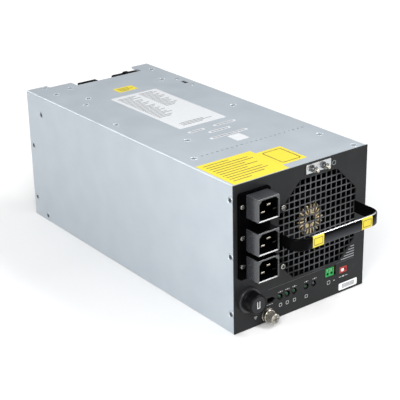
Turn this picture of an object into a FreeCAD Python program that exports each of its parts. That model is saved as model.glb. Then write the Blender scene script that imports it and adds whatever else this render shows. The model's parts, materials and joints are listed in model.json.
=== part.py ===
import FreeCAD, Part
import math
import os
import re

import Sketcher
from FreeCAD import Placement, Rotation, Vector

# Chassis AC power supply. Millimetres, +Z up, origin at the middle of the underside.
# The front panel faces -Y, so a piece that stands out of the panel grows towards -Y.

# Driving dimensions: name, value, what it measures.
dimensions = [
    ("case_width", 207.0, "outside width of the folded cover"),
    ("case_height", 187.5, "height of the case"),
    ("case_depth", 464.0, "front face of the panel to the rear edge of the cover"),
    ("case_sheet", 1.2, "sheet of the cover, tray and rear panel"),
    ("bend_radius", 2.0, "outside bend of the cover"),
    ("seam_gap", 0.1, "gap between sheets that lie on each other"),
    ("panel_width", 208.0, "front panel width"),
    ("panel_sheet", 1.5, "front panel sheet"),
    ("panel_return", 14.5, "depth of the front panel's returned edges"),
    ("panel_edge", 0.5, "rounded front edge of the panel"),
    ("vent_pitch", 7.55, "row of small round holes across the cover"),
    ("vent_radius", 1.5, "row of small round holes across the cover"),
    ("rear_inset", 24.8, "outer face of the rear panel to the rear edge"),
    ("rear_return", 22.0, "depth of the rear panel's returned edges"),
    ("tray_lip", 13.0, "height of the tray's turned up edges"),
    ("tab_left", -71.3, "inner edge of the long rear tab on the left"),
    ("tab_middle", -36.0, "inner edge of the short rear tab"),
    ("tab_right", 74.0, "inner edge of the rear tab on the right"),
    ("tab_step", 9.0, "how far the short tab is cut back"),
    ("tab_notch", 26.0, "how far the cover is cut back over the connectors"),
    ("grille_x", 24.75, "middle of the grille"),
    ("grille_z", 107.5, "middle of the grille"),
    ("grille_pitch", 8.3, "spacing of the square holes"),
    ("grille_hole", 6.85, "side of a square hole"),
    ("grille_bevel", 0.3, "broken front edge of the square holes"),
    ("inlet_x", -72.8, "middle of the three inlets"),
    ("inlet_top", 160.3, "height of the top inlet"),
    ("inlet_middle", 119.0, "height of the middle inlet"),
    ("inlet_bottom", 85.2, "height of the bottom inlet"),
    ("shroud_width", 31.6, "inlet shroud, outside"),
    ("shroud_height", 28.4, "inlet shroud, outside"),
    ("shroud_reach", 24.6, "inlet shroud, in front of the panel"),
    ("shroud_wall", 1.7, "inlet shroud wall"),
    ("shroud_round", 0.5, "rounding of the shroud's front edge"),
    ("lip_chamfer", 1.0, "chamfer on the lower lip of the mouth"),
    ("mouth_depth", 19.0, "depth of the inlet's mouth"),
    ("mouth_corner", 4.2, "cut upper corners of the mouth"),
    ("inlet_rear", 20.0, "inlet body behind the panel face"),
    ("plate_left", -98.5, "inlet plate, left edge"),
    ("plate_right", -52.5, "inlet plate, right edge"),
    ("plate_low", 69.8, "inlet plate, lower edge"),
    ("plate_high", 177.0, "inlet plate, upper edge"),
    ("plate_thick", 4.0, "inlet plate"),
    ("blade_width", 5.5, "inlet blade"),
    ("blade_thick", 2.2, "inlet blade"),
    ("blade_spread", 8.4, "line and neutral blades to the earth blade"),
    ("blade_shift", 1.0, "earth blade to the right of the shroud's middle"),
    ("blade_reach", 23.2, "blade tips in front of the panel"),
    ("handle_x", 19.2, "middle of the strap handle"),
    ("handle_span", 137.2, "outside width of the strap handle"),
    ("handle_low", 103.8, "lower edge of the strap"),
    ("handle_height", 15.5, "strap width, upright"),
    ("handle_reach", 45.5, "strap in front of the panel"),
    ("handle_strap", 3.0, "strap thickness"),
    ("handle_bend", 16.6, "outside bend of the strap"),
    ("handle_foot", 11.0, "feet behind the panel"),
    ("handle_edge", 2.2, "rounded outer edges of the strap"),
    ("switch_x", -82.8, "rotary switch axis"),
    ("switch_z", 39.8, "rotary switch axis"),
    ("bezel_radius", 16.0, "knurled nut of the switch"),
    ("bezel_thick", 4.0, "knurled nut of the switch"),
    ("switch_neck", 11.0, "neck of the switch, radius"),
    ("knob_radius", 12.3, "rotary knob"),
    ("knob_reach", 19.2, "face of the knob in front of the panel"),
    ("spindle_radius", 3.0, "switch spindle"),
    ("running_fit", 0.06, "radial play of what turns"),
    ("captive_x", -54.3, "captive screw axis"),
    ("captive_z", 10.2, "captive screw axis"),
    ("ferrule_radius", 8.3, "ferrule of the captive screw"),
    ("ferrule_reach", 6.0, "ferrule in front of the panel"),
    ("captive_head", 6.5, "head of the captive screw, radius"),
    ("captive_reach", 16.4, "head of the captive screw in front of the panel"),
    ("captive_shank", 2.5, "shank of the captive screw, radius"),
    ("led_z", 27.0, "row of indicator lamps"),
    ("led_radius", 2.6, "indicator lamp lens"),
    ("led_hole", 4.0, "hole round the lamp, radius"),
    ("board_gap", 10.0, "indicator board behind the panel"),
    ("board_thick", 1.6, "circuit boards"),
    ("terminal_x", 46.5, "terminal block"),
    ("terminal_z", 34.4, "terminal block"),
    ("alarm_x", 69.8, "red slide switch"),
    ("alarm_z", 30.6, "red slide switch"),
    ("alarm_width", 12.5, "red slide switch"),
    ("alarm_height", 8.4, "red slide switch"),
    ("alarm_travel", 3.0, "travel of the white slider"),
    ("ground_x", 23.4, "middle of the earth plate"),
    ("ground_z", 180.0, "middle of the earth plate"),
    ("ground_width", 39.0, "earth plate"),
    ("ground_height", 11.4, "earth plate"),
    ("stud_spacing", 17.6, "earth studs"),
    ("stud_radius", 2.5, "earth studs"),
    ("stud_reach", 10.5, "earth studs in front of the panel"),
    ("fan_size", 92.0, "fan frame"),
    ("fan_thick", 25.4, "fan frame"),
    ("fan_x", 47.5, "fan axis from the middle"),
    ("fan_z", 60.5, "fan axis"),
    ("fan_bore", 44.0, "fan opening, radius"),
    ("fan_hub", 18.0, "rotor hub, radius"),
    ("fan_hole", 41.25, "fan screw from the fan axis, each way"),
    ("main_board_z", 10.0, "underside of the main board"),
    ("cooler_low", 20.0, "lower edge of the heatsinks"),
    ("choke_x", 33.5, "wound choke behind the grille"),
    ("choke_z", 101.5, "wound choke behind the grille"),
    ("choke_radius", 20.8, "wound choke, outside"),
]

doc = FreeCAD.newDocument("AcPowerSupply")
sizes = doc.addObject("Spreadsheet::Sheet", "Sizes")
for row, (alias, value, note) in enumerate(dimensions, 1):
    sizes.set(f"A{row}", note)
    sizes.set(f"B{row}", str(value))
    sizes.setAlias(f"B{row}", alias)
doc.recompute()
aliases = {alias for alias, value, note in dimensions}
nodes = []

# Faces that many pieces are placed from.
panel_face = "-case_depth / 2"
panel_back = "-case_depth / 2 + panel_sheet"
rear_face = "case_depth / 2 - rear_inset"
rear_inner = "case_depth / 2 - rear_inset - case_sheet"
inner_half = "case_width / 2 - case_sheet - seam_gap"
ceiling = "case_height - case_sheet - seam_gap"


def expr(text):
    def refer(word):
        return "Sizes." + word.group() if word.group() in aliases else word.group()
    return re.sub(r"[a-z][a-z0-9_]*", refer, str(text))


def number(text):
    return float(sizes.evalExpression(expr(text)))


def bind(obj, **texts):
    for name, text in texts.items():
        obj.setExpression(name, expr(text))
    return obj


def place(obj, x="0", y="0", z="0", turn=None):
    if turn:
        obj.Placement = Placement(Vector(), turn)
    for axis, text in zip("xyz", (x, y, z)):
        obj.setExpression(f".Placement.Base.{axis}", expr(text))
    return obj


def keep(obj):
    nodes.append(obj)
    return obj


# Turns that carry a piece's own Z axis out of the front panel, or out of the rear one.
outward = Rotation(Vector(1, 0, 0), 90)
rearward = Rotation(Vector(1, 0, 0), -90)


# Primitives and booleans with bound sizes

def box(name, low, high):
    obj = doc.addObject("Part::Box", name)
    for prop, start, end in zip(("Length", "Width", "Height"), low, high):
        obj.setExpression(prop, expr(f"({end}) - ({start})"))
    return place(obj, *low)


def cylinder(name, radius, length, at, turn=None):
    obj = doc.addObject("Part::Cylinder", name)
    bind(obj, Radius=radius, Height=length)
    return place(obj, *at, turn=turn)


def cut(name, base, *tools):
    for step, tool in enumerate(tools, 1):
        last = step == len(tools)
        obj = doc.addObject("Part::Cut", name if last else f"{name}_step{step}")
        obj.Base = base
        obj.Tool = tool
        base = obj
    return base


def fuse(name, *parts):
    obj = doc.addObject("Part::MultiFuse", name)
    obj.Shapes = list(parts)
    return obj


def feature(name, shape):
    obj = doc.addObject("Part::Feature", name)
    obj.Shape = shape
    return obj


def group(name, solids):
    return feature(name, Part.makeCompound(solids))


def placed(shape, x, y, z, turn=None):
    copy = shape.copy()
    copy.Placement = Placement(Vector(x, y, z), turn or Rotation())
    return copy


# Sketched bodies with bound constraints

def new_body(name):
    return doc.addObject("PartDesign::Body", name)


def sketch_on(body, plane, start="0"):
    sketch = body.newObject("Sketcher::SketchObject", body.Name + "_sketch")
    support = next(item for item in body.Origin.OriginFeatures if item.Role == plane)
    sketch.AttachmentSupport = (support, [""])
    sketch.MapMode = "FlatFace"
    sketch.setExpression(".AttachmentOffset.Base.z", expr(start))
    return sketch


def fix_point(sketch, geometry, point, x, y):
    for kind, text, axis in (("DistanceX", x, -2), ("DistanceY", y, -1)):
        if str(text) == "0":
            sketch.addConstraint(Sketcher.Constraint("PointOnObject", geometry, point, axis))
            continue
        index = sketch.addConstraint(Sketcher.Constraint(kind, -1, 1, geometry, point, number(text)))
        sketch.setExpression(f"Constraints[{index}]", expr(text))


def outline(sketch, points):
    corners = [Vector(number(x), number(y), 0) for x, y in points]
    first = sketch.GeometryCount
    count = len(corners)
    for i in range(count):
        sketch.addGeometry(Part.LineSegment(corners[i], corners[(i + 1) % count]))
    for i in range(count):
        sketch.addConstraint(Sketcher.Constraint("Coincident", first + i, 2, first + (i + 1) % count, 1))
    for i, (x, y) in enumerate(points):
        fix_point(sketch, first + i, 1, x, y)


def circle(sketch, x, y, radius):
    index = sketch.addGeometry(Part.Circle(Vector(number(x), number(y), 0), Vector(0, 0, 1), number(radius)))
    fix_point(sketch, index, 3, x, y)
    size = sketch.addConstraint(Sketcher.Constraint("Radius", index, number(radius)))
    sketch.setExpression(f"Constraints[{size}]", expr(radius))


def rectangle(x, y, width, height):
    left, right = f"({x}) - ({width}) / 2", f"({x}) + ({width}) / 2"
    low, high = f"({y}) - ({height}) / 2", f"({y}) + ({height}) / 2"
    return [(left, low), (right, low), (right, high), (left, high)]


def extrude(body, kind, plane, start, length, draw, back=False):
    sketch = sketch_on(body, plane, start)
    draw(sketch)
    step = body.newObject("PartDesign::" + kind, body.Name + "_" + kind.lower())
    step.Profile = sketch
    step.Reversed = back
    bind(step, Length=length)
    doc.recompute()
    return step


def pad(body, plane, start, length, *loops, back=False):
    return extrude(body, "Pad", plane, start, length, lambda s: [outline(s, loop) for loop in loops], back)


def pocket(body, plane, start, length, *loops, back=False):
    before = body.Shape.Volume
    step = extrude(body, "Pocket", plane, start, length, lambda s: [outline(s, loop) for loop in loops], back)
    if body.Shape.Volume >= before - 1e-6:
        raise RuntimeError(body.Name + ": a pocket cuts nothing")
    return step


def turned(name, profile):
    body = new_body(name)
    sketch = sketch_on(body, "XZ_Plane")
    outline(sketch, profile)
    step = body.newObject("PartDesign::Revolution", name + "_turn")
    step.Profile = sketch
    step.ReferenceAxis = (sketch, ["V_Axis"])
    step.Angle = 360
    doc.recompute()
    return body


def dress_edges(body, kind, test, **size):
    base = body.Tip
    names = [f"Edge{i}" for i, edge in enumerate(base.Shape.Edges, 1) if test(edge)]
    step = body.newObject("PartDesign::" + kind, body.Name + "_" + kind.lower())
    step.Base = (base, names)
    bind(step, **size)
    doc.recompute()
    return step


def round_edges(body, radius, test):
    return dress_edges(body, "Fillet", test, Radius=radius)


def knurl(body, radius, notch, low, length, count):
    sketch = sketch_on(body, "XY_Plane", low)
    circle(sketch, radius, "0", notch)
    groove = body.newObject("PartDesign::Pocket", body.Name + "_groove")
    groove.Profile = sketch
    groove.Reversed = True
    bind(groove, Length=length)
    doc.recompute()
    pattern = body.newObject("PartDesign::PolarPattern", body.Name + "_knurl")
    pattern.Originals = [groove]
    pattern.Axis = (next(item for item in body.Origin.OriginFeatures if item.Role == "Z_Axis"), [""])
    pattern.Angle = 360
    pattern.Occurrences = count
    body.Tip = pattern
    doc.recompute()


def upright(edge, x, y):
    ends = [vertex.Point for vertex in edge.Vertexes]
    return len(ends) == 2 and all(abs(p.x - x) < 0.01 and abs(p.y - y) < 0.01 for p in ends)


# Fasteners: one shape each about its own Z axis, head at the top

def cross_recess(top, arm, depth, wide=0.8):
    slots = []
    for long_x, long_y in ((arm, wide), (wide, arm)):
        slots.append(Part.makeBox(long_x, long_y, depth, Vector(-long_x / 2, -long_y / 2, top - depth)))
    return slots[0].fuse(slots[1])


def flush_screw(head, shank, length):
    depth = number("case_sheet")
    cone = Part.makeCone(shank, head, depth, Vector(0, 0, -depth))
    stem = Part.makeCylinder(shank, length, Vector(0, 0, -depth - length))
    return cone.fuse(stem).removeSplitter().cut(cross_recess(0, 1.3 * head, 0.9, 1.3))


def pan_screw(head, height, shank, length):
    cap = Part.makeCylinder(head, height)
    cap = cap.makeFillet(0.45 * height, [cap.Edges[0]])
    stem = Part.makeCylinder(shank, length, Vector(0, 0, -length))
    return cap.fuse(stem).removeSplitter().cut(cross_recess(height, 1.2 * head, 0.55 * height))


def socket_screw(head, height, shank, length):
    cap = Part.makeCylinder(head, height)
    cap = cap.makeFillet(0.4 * height, [cap.Edges[0]])
    stem = Part.makeCylinder(shank, length, Vector(0, 0, -length))
    reach = 0.62 * head
    corners = [Vector(reach * math.cos(math.radians(60 * i)), reach * math.sin(math.radians(60 * i)), 0.2 * height)
               for i in range(7)]
    socket = Part.Face(Part.makePolygon(corners)).extrude(Vector(0, 0, height))
    return cap.fuse(stem).removeSplitter().cut(socket)


screw_shank = 1.5                                  # thread of the case screws, radius
screw_head = 3.0
clear_hole = 1.65                                  # hole for those screws, radius
coined_ring = (3.6, 4.3, 5.0)                      # groove stamped round a screw: inner edge, bottom, outer edge
coined_depth = 0.85

# Cover screws as (x, distance behind the front face), read off the top of the object.
cover_screw_points = [
    (-78.3, 457.0), (-81.3, 420.0), (-50.9, 432.0), (-56.9, 375.0), (-73.9, 354.0), (-88.6, 258.5),
    (-53.3, 153.0), (-84.8, 98.0), (75.6, 224.0), (89.1, 433.0), (72.4, 383.0), (85.2, 65.0), (90.1, 9.5)]
# Side screws as (distance behind the front face, height), the same on both sides.
side_screw_points = [
    (427.0, 160.5), (455.5, 108.0), (456.0, 28.5), (429.0, 7.5), (6.8, 168.6), (6.8, 98.0), (6.8, 24.0)]
top_screws = [(x, number(panel_face) + depth) for x, depth in cover_screw_points]
side_screws = [(number(panel_face) + depth, z) for depth, z in side_screw_points]
top_z = number("case_height")
side_x = number("case_width / 2")
turn_right = Rotation(Vector(0, 0, 1), Vector(1, 0, 0))
turn_left = Rotation(Vector(0, 0, 1), Vector(-1, 0, 0))

screw = flush_screw(screw_head, screw_shank, 3.4)
keep(group("cover_screws", [placed(screw, x, y, top_z) for x, y in top_screws]))
keep(group("side_screws", [placed(screw, sign * side_x, y, z, turn)
                           for sign, turn in ((-1, turn_left), (1, turn_right)) for y, z in side_screws]))


def screw_clearances():
    drill = Part.makeCylinder(clear_hole, 9, Vector(0, 0, -9))
    sink = Part.makeCone(clear_hole, screw_head + 0.12, number("case_sheet"), Vector(0, 0, -number("case_sheet")))
    inner, bottom, outer = coined_ring
    start = Vector(0, 0, -coined_depth)
    groove = Part.makeCone(bottom, outer, coined_depth, start)
    groove = groove.cut(Part.makeCone(bottom, inner, coined_depth, start))
    hole = Part.makeCompound([drill.fuse(sink), groove])
    holes = [placed(hole, x, y, top_z) for x, y in top_screws]
    for sign, turn in ((-1, turn_left), (1, turn_right)):
        holes += [placed(hole, sign * side_x, y, z, turn) for y, z in side_screws]
    return holes


screw_holes = feature("screw_holes", Part.makeCompound(screw_clearances()))


# Outer cover: one sheet folded over the top and both sides

def build_cover():
    body = new_body("cover_fold")
    half, inner = "case_width / 2", "case_width / 2 - case_sheet"
    top, under = "case_height", "case_height - case_sheet"
    pad(body, "XZ_Plane", "0", "case_depth - panel_sheet - seam_gap", [
        (f"-({half})", "0"), (half, "0"), (half, top), (f"-({half})", top)])
    pocket(body, "XZ_Plane", "case_depth", "case_depth + 1", [
        (f"-({inner})", "-1"), (inner, "-1"), (inner, under), (f"-({inner})", under)])
    corner = number(half)
    round_edges(body, "bend_radius", lambda e: e.Length > 400 and abs(abs(e.CenterOfMass.x) - corner) < 0.01
                and abs(e.CenterOfMass.z - number(top)) < 0.01)
    pocket(body, "XY_Plane", "case_height + 1", "case_sheet + 2", [
        ("tab_left", "1"), ("tab_left", "-tab_step"), ("tab_middle", "-tab_step"),
        ("tab_middle", "-tab_notch"), ("tab_right", "-tab_notch"), ("tab_right", "1")])
    place(body, y="case_depth / 2")
    front = number(panel_face)
    vent, pitch = number("vent_radius"), number("vent_pitch")
    row = [Part.makeCylinder(vent, 4, Vector(-72.0 + pitch * i, front + 98.5, top_z - 3)) for i in range(22)]
    slot = Part.makeBox(6.0, 13.0, 4, Vector(86.2, front + 345.0, top_z - 3))
    rivets = [Part.makeCylinder(1.6, 4, Vector(89.2, front + depth, top_z - 3)) for depth in (334.0, 369.0)]
    marks = feature("cover_marks", Part.makeCompound(row + [slot] + rivets))
    return cut("outer_cover", body, screw_holes, marks)


keep(build_cover())

# Nut strip riveted under the long slot in the cover
strip = box("nut_strip_blank", ("84.2", panel_face + " + 328", ceiling + " - 2"),
            ("94.2", panel_face + " + 375", ceiling))
strip_holes = group("nut_strip_holes", [
    Part.makeCylinder(radius, 6, Vector(89.2, number(panel_face) + depth, top_z - 5))
    for depth, radius in ((334.0, 1.6), (351.5, 1.7), (369.0, 1.6))])
keep(cut("nut_strip", strip, strip_holes))


def rivet():
    stem = Part.makeCylinder(1.5, 3.4, Vector(0, 0, -3.4))
    dome = Part.makeCylinder(2.6, 0.8)
    return dome.makeFillet(0.5, [dome.Edges[0]]).fuse(stem).removeSplitter()


keep(group("strip_rivets", [placed(rivet(), 89.2, number(panel_face) + depth, top_z)
                            for depth in (334.0, 369.0)]))

# Base tray: flat floor with edges turned up inside the cover
floor = box("tray_floor", (f"-({inner_half})", panel_back + " + seam_gap", "0"),
            (inner_half, "case_depth / 2", "case_sheet"))
lips = []
for name, left in (("tray_lip_left", f"-({inner_half})"), ("tray_lip_right", inner_half + " - case_sheet")):
    lips.append(box(name, (left, panel_back + " + panel_return + 0.5", "0"),
                    (left + " + case_sheet", rear_inner + " - rear_return - 0.5", "tray_lip")))
keep(fuse("base_tray", floor, *lips))


# Front panel: painted steel tray with the grille and all cut-outs

cells = 15                                         # square holes along each side of the grille
corner_cells = {"low": 2, "high": 3}               # solid cells on each cut corner, below and above
inlet_heights = {"top": "inlet_top", "middle": "inlet_middle", "bottom": "inlet_bottom"}
led_places = [-33.6, -22.1, -11.0, 8.1, 20.3]      # indicator lamps along the row
plate_screws = [(-95.3, 162.0), (-95.3, 123.6), (-95.3, 88.0)]
grille_screws = [(-31.2, 142.6), (-31.4, 67.0)]


def panel_prism(points):
    front = number(panel_face)
    wire = Part.makePolygon([Vector(x, front - 1, z) for x, z in points + points[:1]])
    return Part.Face(wire).extrude(Vector(0, number("panel_sheet") + 2, 0))


def bevelled_prism(points, bevel):
    front = number(panel_face)
    mid_x, mid_z = sum(x for x, z in points) / len(points), sum(z for x, z in points) / len(points)
    wires = []
    for y, grow in ((front - bevel, 2 * bevel), (front + bevel, 0)):
        corners = [Vector(x + math.copysign(grow, x - mid_x), y, z + math.copysign(grow, z - mid_z))
                   for x, z in points]
        wires.append(Part.makePolygon(corners + corners[:1]))
    return panel_prism(points).fuse(Part.makeLoft(wires, True, True))


def panel_drill(x, z, radius):
    start = Vector(x, number(panel_face) - 1, z)
    return Part.makeCylinder(radius, number("panel_sheet") + 2, start, Vector(0, 1, 0))


def grille_holes():
    pitch, side = number("grille_pitch"), number("grille_hole")
    left, low = number("grille_x") - cells * pitch / 2, number("grille_z") - cells * pitch / 2
    leg = number("handle_span") / 2 - number("handle_strap") - 0.9
    middle = number("handle_x")
    strap = number("handle_low") - 0.3, number("handle_low + handle_height") + 0.3
    holes = []
    for col in range(cells):
        for row in range(cells):
            edge = min(col, cells - 1 - col) + min(row, cells - 1 - row)
            solid = corner_cells["low" if row < cells / 2 else "high"]
            x0, z0 = left + pitch * col + (pitch - side) / 2, low + pitch * row + (pitch - side) / 2
            x1, z1 = x0 + side, z0 + side
            if edge < solid:
                continue
            if z1 > strap[0] and z0 < strap[1]:    # keep clear of the handle's slots
                x0, x1 = max(x0, middle - leg), min(x1, middle + leg)
            square = [(x0, z0), (x1, z0), (x1, z1), (x0, z1)]
            if edge == solid:
                if any(abs(x - (x0 + x1) / 2) < pitch / 2 and abs(z - (z0 + z1) / 2) < pitch / 2
                       for x, z in grille_screws):
                    continue
                away = (0 if row < cells / 2 else 2) + (0 if (col < cells / 2) == (row < cells / 2) else 1)
                del square[away]
            holes.append(bevelled_prism(square, number("grille_bevel")))
    return holes


def panel_openings():
    width, height = number("shroud_width") / 2 + 0.2, number("shroud_height") / 2 + 0.2
    x = number("inlet_x")
    holes = []
    for name in inlet_heights.values():
        z = number(name)
        holes.append(panel_prism([(x - width, z - height), (x + width, z - height),
                                  (x + width, z + height), (x - width, z + height)]))
    holes += [panel_drill(place_x, number("led_z"), number("led_hole")) for place_x in led_places]
    holes += [panel_drill(px, pz, clear_hole) for px, pz in plate_screws]
    holes += [panel_drill(px, pz, 2.1) for px, pz in grille_screws]
    holes.append(panel_drill(number("switch_x"), number("switch_z"), number("switch_neck") + 0.1))
    holes.append(panel_drill(number("captive_x"), number("captive_z"), 4.6))
    for sign in (-1, 1):
        stud = number("ground_x") + sign * number("stud_spacing") / 2
        holes.append(panel_drill(stud, number("ground_z") - 1, number("stud_radius") + 0.15))
        leg = number("handle_x") + sign * (number("handle_span") - number("handle_strap")) / 2
        slot_x, slot_z = number("handle_strap") / 2 + 0.2, number("handle_height") / 2 + 0.2
        z = number("handle_low + handle_height / 2")
        holes.append(panel_prism([(leg - slot_x, z - slot_z), (leg + slot_x, z - slot_z),
                                  (leg + slot_x, z + slot_z), (leg - slot_x, z + slot_z)]))
    holes.append(panel_prism([(-54.0, 24.2), (-46.0, 24.2), (-41.3, 27.6), (-46.0, 31.0), (-54.0, 31.0)]))
    tx, tz = number("terminal_x"), number("terminal_z")
    holes.append(panel_prism([(tx - 8, tz - 6.4), (tx + 10, tz - 6.4), (tx + 10, tz + 6.8), (tx - 8, tz + 6.8)]))
    ax, az = number("alarm_width") / 2 + 0.3, number("alarm_height") / 2 + 0.3
    cx, cz = number("alarm_x"), number("alarm_z")
    holes.append(panel_prism([(cx - ax, cz - az), (cx + ax, cz - az), (cx + ax, cz + az), (cx - ax, cz + az)]))
    return holes


def build_panel():
    body = new_body("panel_fold")
    half = "panel_width / 2"
    pad(body, "XZ_Plane", "0", "panel_sheet", [
        (f"-({half})", "0"), (half, "0"), (half, "case_height"), (f"-({half})", "case_height")])
    face = -number("panel_sheet")
    round_edges(body, "panel_edge", lambda e: abs(e.CenterOfMass.y - face) < 0.01)
    edge, low = inner_half, "case_sheet + seam_gap"
    inside, above, below = f"{edge} - case_sheet", f"{low} + case_sheet", f"{ceiling} - case_sheet"
    pad(body, "XZ_Plane", "0", "panel_return", [
        (f"-({edge})", low), (edge, low), (edge, ceiling), (f"-({edge})", ceiling)], [
        (f"-({inside})", above), (inside, above), (inside, below), (f"-({inside})", below)], back=True)
    place(body, y=panel_back)
    grille = feature("panel_grille", Part.makeCompound(grille_holes()))
    openings = feature("panel_openings", Part.makeCompound(panel_openings()))
    return cut("front_panel", body, grille, openings, screw_holes)


keep(build_panel())


# Three inlets with their plate, blades and screws

def build_inlet_plate():
    body = new_body("inlet_plate_blank")
    corners = [("plate_left", "plate_low"), ("plate_right", "plate_low"),
               ("plate_right", "plate_high"), ("plate_left", "plate_high")]
    pad(body, "XZ_Plane", "0", "plate_thick", corners)
    round_edges(body, "3", lambda e: len(e.Vertexes) == 2 and abs(e.Vertexes[0].Y - e.Vertexes[1].Y) > 2)
    face = -number("plate_thick")
    round_edges(body, "0.8", lambda e: abs(e.CenterOfMass.y - face) < 0.01)
    windows = [rectangle("inlet_x", z, "shroud_width + 0.4", "shroud_height + 0.4")
               for z in inlet_heights.values()]
    pocket(body, "XZ_Plane", "plate_thick + 1", "plate_thick + 2", *windows)
    place(body, y=panel_face)
    front = number(panel_face)
    drills = group("inlet_plate_drills", [
        Part.makeCylinder(clear_hole, 8, Vector(x, front - 6, z), Vector(0, 1, 0)) for x, z in plate_screws])
    return cut("inlet_plate", body, drills)


blade_rows = [(0, 4.4), (-1, -2.9), (1, -2.9)]     # earth above, line and neutral below


def build_inlet(name, height):
    body = new_body(name)
    pad(body, "XZ_Plane", "0", "shroud_reach", rectangle("0", "0", "shroud_width", "shroud_height"))
    front = -number("shroud_reach")
    round_edges(body, "1.2", lambda e: abs(e.CenterOfMass.y - front / 2) < 0.01)
    round_edges(body, "shroud_round", lambda e: abs(e.CenterOfMass.y - front) < 0.01)
    pad(body, "XZ_Plane", "0", "panel_sheet", rectangle("0", "0", "shroud_width", "shroud_height"), back=True)
    pad(body, "XZ_Plane", "-panel_sheet", "2.5", rectangle("0", "0", "38", "31.5"), back=True)
    pad(body, "XZ_Plane", "-panel_sheet - 2.5", "inlet_rear - panel_sheet - 2.5",
        rectangle("0", "0", "28", "24"), back=True)
    right, top = "(shroud_width / 2 - shroud_wall)", "(shroud_height / 2 - shroud_wall)"
    pocket(body, "XZ_Plane", "shroud_reach", "mouth_depth", [
        (f"-{right}", f"-{top}"), (right, f"-{top}"), (right, f"{top} - mouth_corner"),
        (f"{right} - mouth_corner", top), (f"-{right} + mouth_corner", top), (f"-{right}", f"{top} - mouth_corner")])
    sill = -number(top)
    dress_edges(body, "Chamfer", lambda e: abs(e.CenterOfMass.y - front) < 0.01
                and abs(e.CenterOfMass.z - sill) < 0.01, Size="lip_chamfer")
    slots = [rectangle(f"{side} * blade_spread + blade_shift", str(up), "blade_width", "blade_thick")
             for side, up in blade_rows]
    pocket(body, "XZ_Plane", "shroud_reach", "shroud_reach + inlet_rear + 1", *slots)
    return place(body, x="inlet_x", y=panel_face, z=height)


def inlet_blades():
    wide, thick = number("blade_width"), number("blade_thick")
    length = number("blade_reach + inlet_rear") + 7
    blade = Part.makeBox(wide, length, thick, Vector(-wide / 2, -number("blade_reach"), -thick / 2))
    tip = [e for e in blade.Edges if abs(e.CenterOfMass.y + number("blade_reach")) < 0.01]
    blade = blade.makeChamfer(0.5, tip)
    middle = number("inlet_x + blade_shift")
    return [placed(blade, middle + side * number("blade_spread"), number(panel_face), number(z) + up)
            for z in inlet_heights.values() for side, up in blade_rows]


keep(build_inlet_plate())
for name, height in inlet_heights.items():
    keep(build_inlet("ac_inlet_" + name, height))
keep(group("inlet_blades", inlet_blades()))
keep(group("inlet_screws", [placed(socket_screw(3.0, 2.5, screw_shank, 9), x,
                                   number(panel_face) - number("plate_thick"), z, outward)
                            for x, z in plate_screws]))
keep(group("panel_screws", [placed(socket_screw(3.5, 2.7, 2.0, 7), x, number(panel_face), z, outward)
                            for x, z in grille_screws]))


# Strap handle: one bent flat bar whose feet lie behind the panel

def build_handle():
    body = new_body("handle")
    outer, inner = "(handle_span / 2)", "(handle_span / 2 - handle_strap)"
    back, foot = "panel_sheet", "(panel_sheet + handle_strap)"
    reach, bar = "-handle_reach", "-handle_reach + handle_strap"
    end = f"({inner} - handle_foot)"
    pad(body, "XY_Plane", "0", "handle_height", [
        (f"-{end}", foot), (f"-{outer}", foot), (f"-{outer}", reach), (outer, reach), (outer, foot), (end, foot),
        (end, back), (inner, back), (inner, bar), (f"-{inner}", bar), (f"-{inner}", back), (f"-{end}", back)])
    half, depth = number(outer), number("handle_reach")
    round_edges(body, "handle_bend", lambda e: upright(e, half, -depth) or upright(e, -half, -depth))
    half, depth = number(inner), number("handle_reach - handle_strap")
    round_edges(body, "handle_bend - handle_strap",
                lambda e: upright(e, half, -depth) or upright(e, -half, -depth))
    rims = (0, number("handle_height"))
    for size, line in (("handle_edge", reach), ("0.5", bar)):
        round_edges(body, size, lambda e: min(abs(e.CenterOfMass.z - rim) for rim in rims) < 0.01
                    and abs(e.CenterOfMass.y - number(line)) < 0.01)
    return place(body, x="handle_x", y=panel_face, z="handle_low")


keep(build_handle())

# Rotary switch: knurled nut, body behind the panel, knob with its face

bezel = turned("switch_bezel", [
    ("switch_neck + 0.1", "0"), ("bezel_radius", "0"), ("bezel_radius", "bezel_thick - 0.8"),
    ("bezel_radius - 0.8", "bezel_thick"), ("switch_neck + 0.1", "bezel_thick")])
knurl(bezel, "bezel_radius + 0.35", "0.8", "-1", "bezel_thick + 2", 44)
keep(place(bezel, "switch_x", panel_face, "switch_z", outward))

bore = "spindle_radius + running_fit"
switch = turned("switch_body", [
    (bore, "-22"), ("14", "-22"), ("14", "-panel_sheet"), ("switch_neck", "-panel_sheet"),
    ("switch_neck", "bezel_thick - 0.6"), (bore, "bezel_thick - 0.6")])
keep(place(switch, "switch_x", panel_face, "switch_z", outward))

knob = turned("switch_knob", [
    ("0", "-18"), ("spindle_radius", "-18"), ("spindle_radius", "bezel_thick + 0.5"),
    ("knob_radius + 0.6", "bezel_thick + 0.5"), ("knob_radius + 0.6", "bezel_thick + 2.0"),
    ("knob_radius", "bezel_thick + 2.6"), ("knob_radius", "knob_reach - 1.0"), ("knob_radius - 1.0", "knob_reach"),
    ("knob_radius - 1.9", "knob_reach"), ("knob_radius - 1.9", "knob_reach - 1.4"), ("0", "knob_reach - 1.4")])
keep(place(knob, "switch_x", panel_face, "switch_z", outward))
cap = turned("knob_cap", [
    ("0", "knob_reach - 1.4"), ("knob_radius - 1.9", "knob_reach - 1.4"),
    ("knob_radius - 1.9", "knob_reach - 0.2"), ("0", "knob_reach - 0.2")])
keep(place(cap, "switch_x", panel_face, "switch_z", outward))

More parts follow.
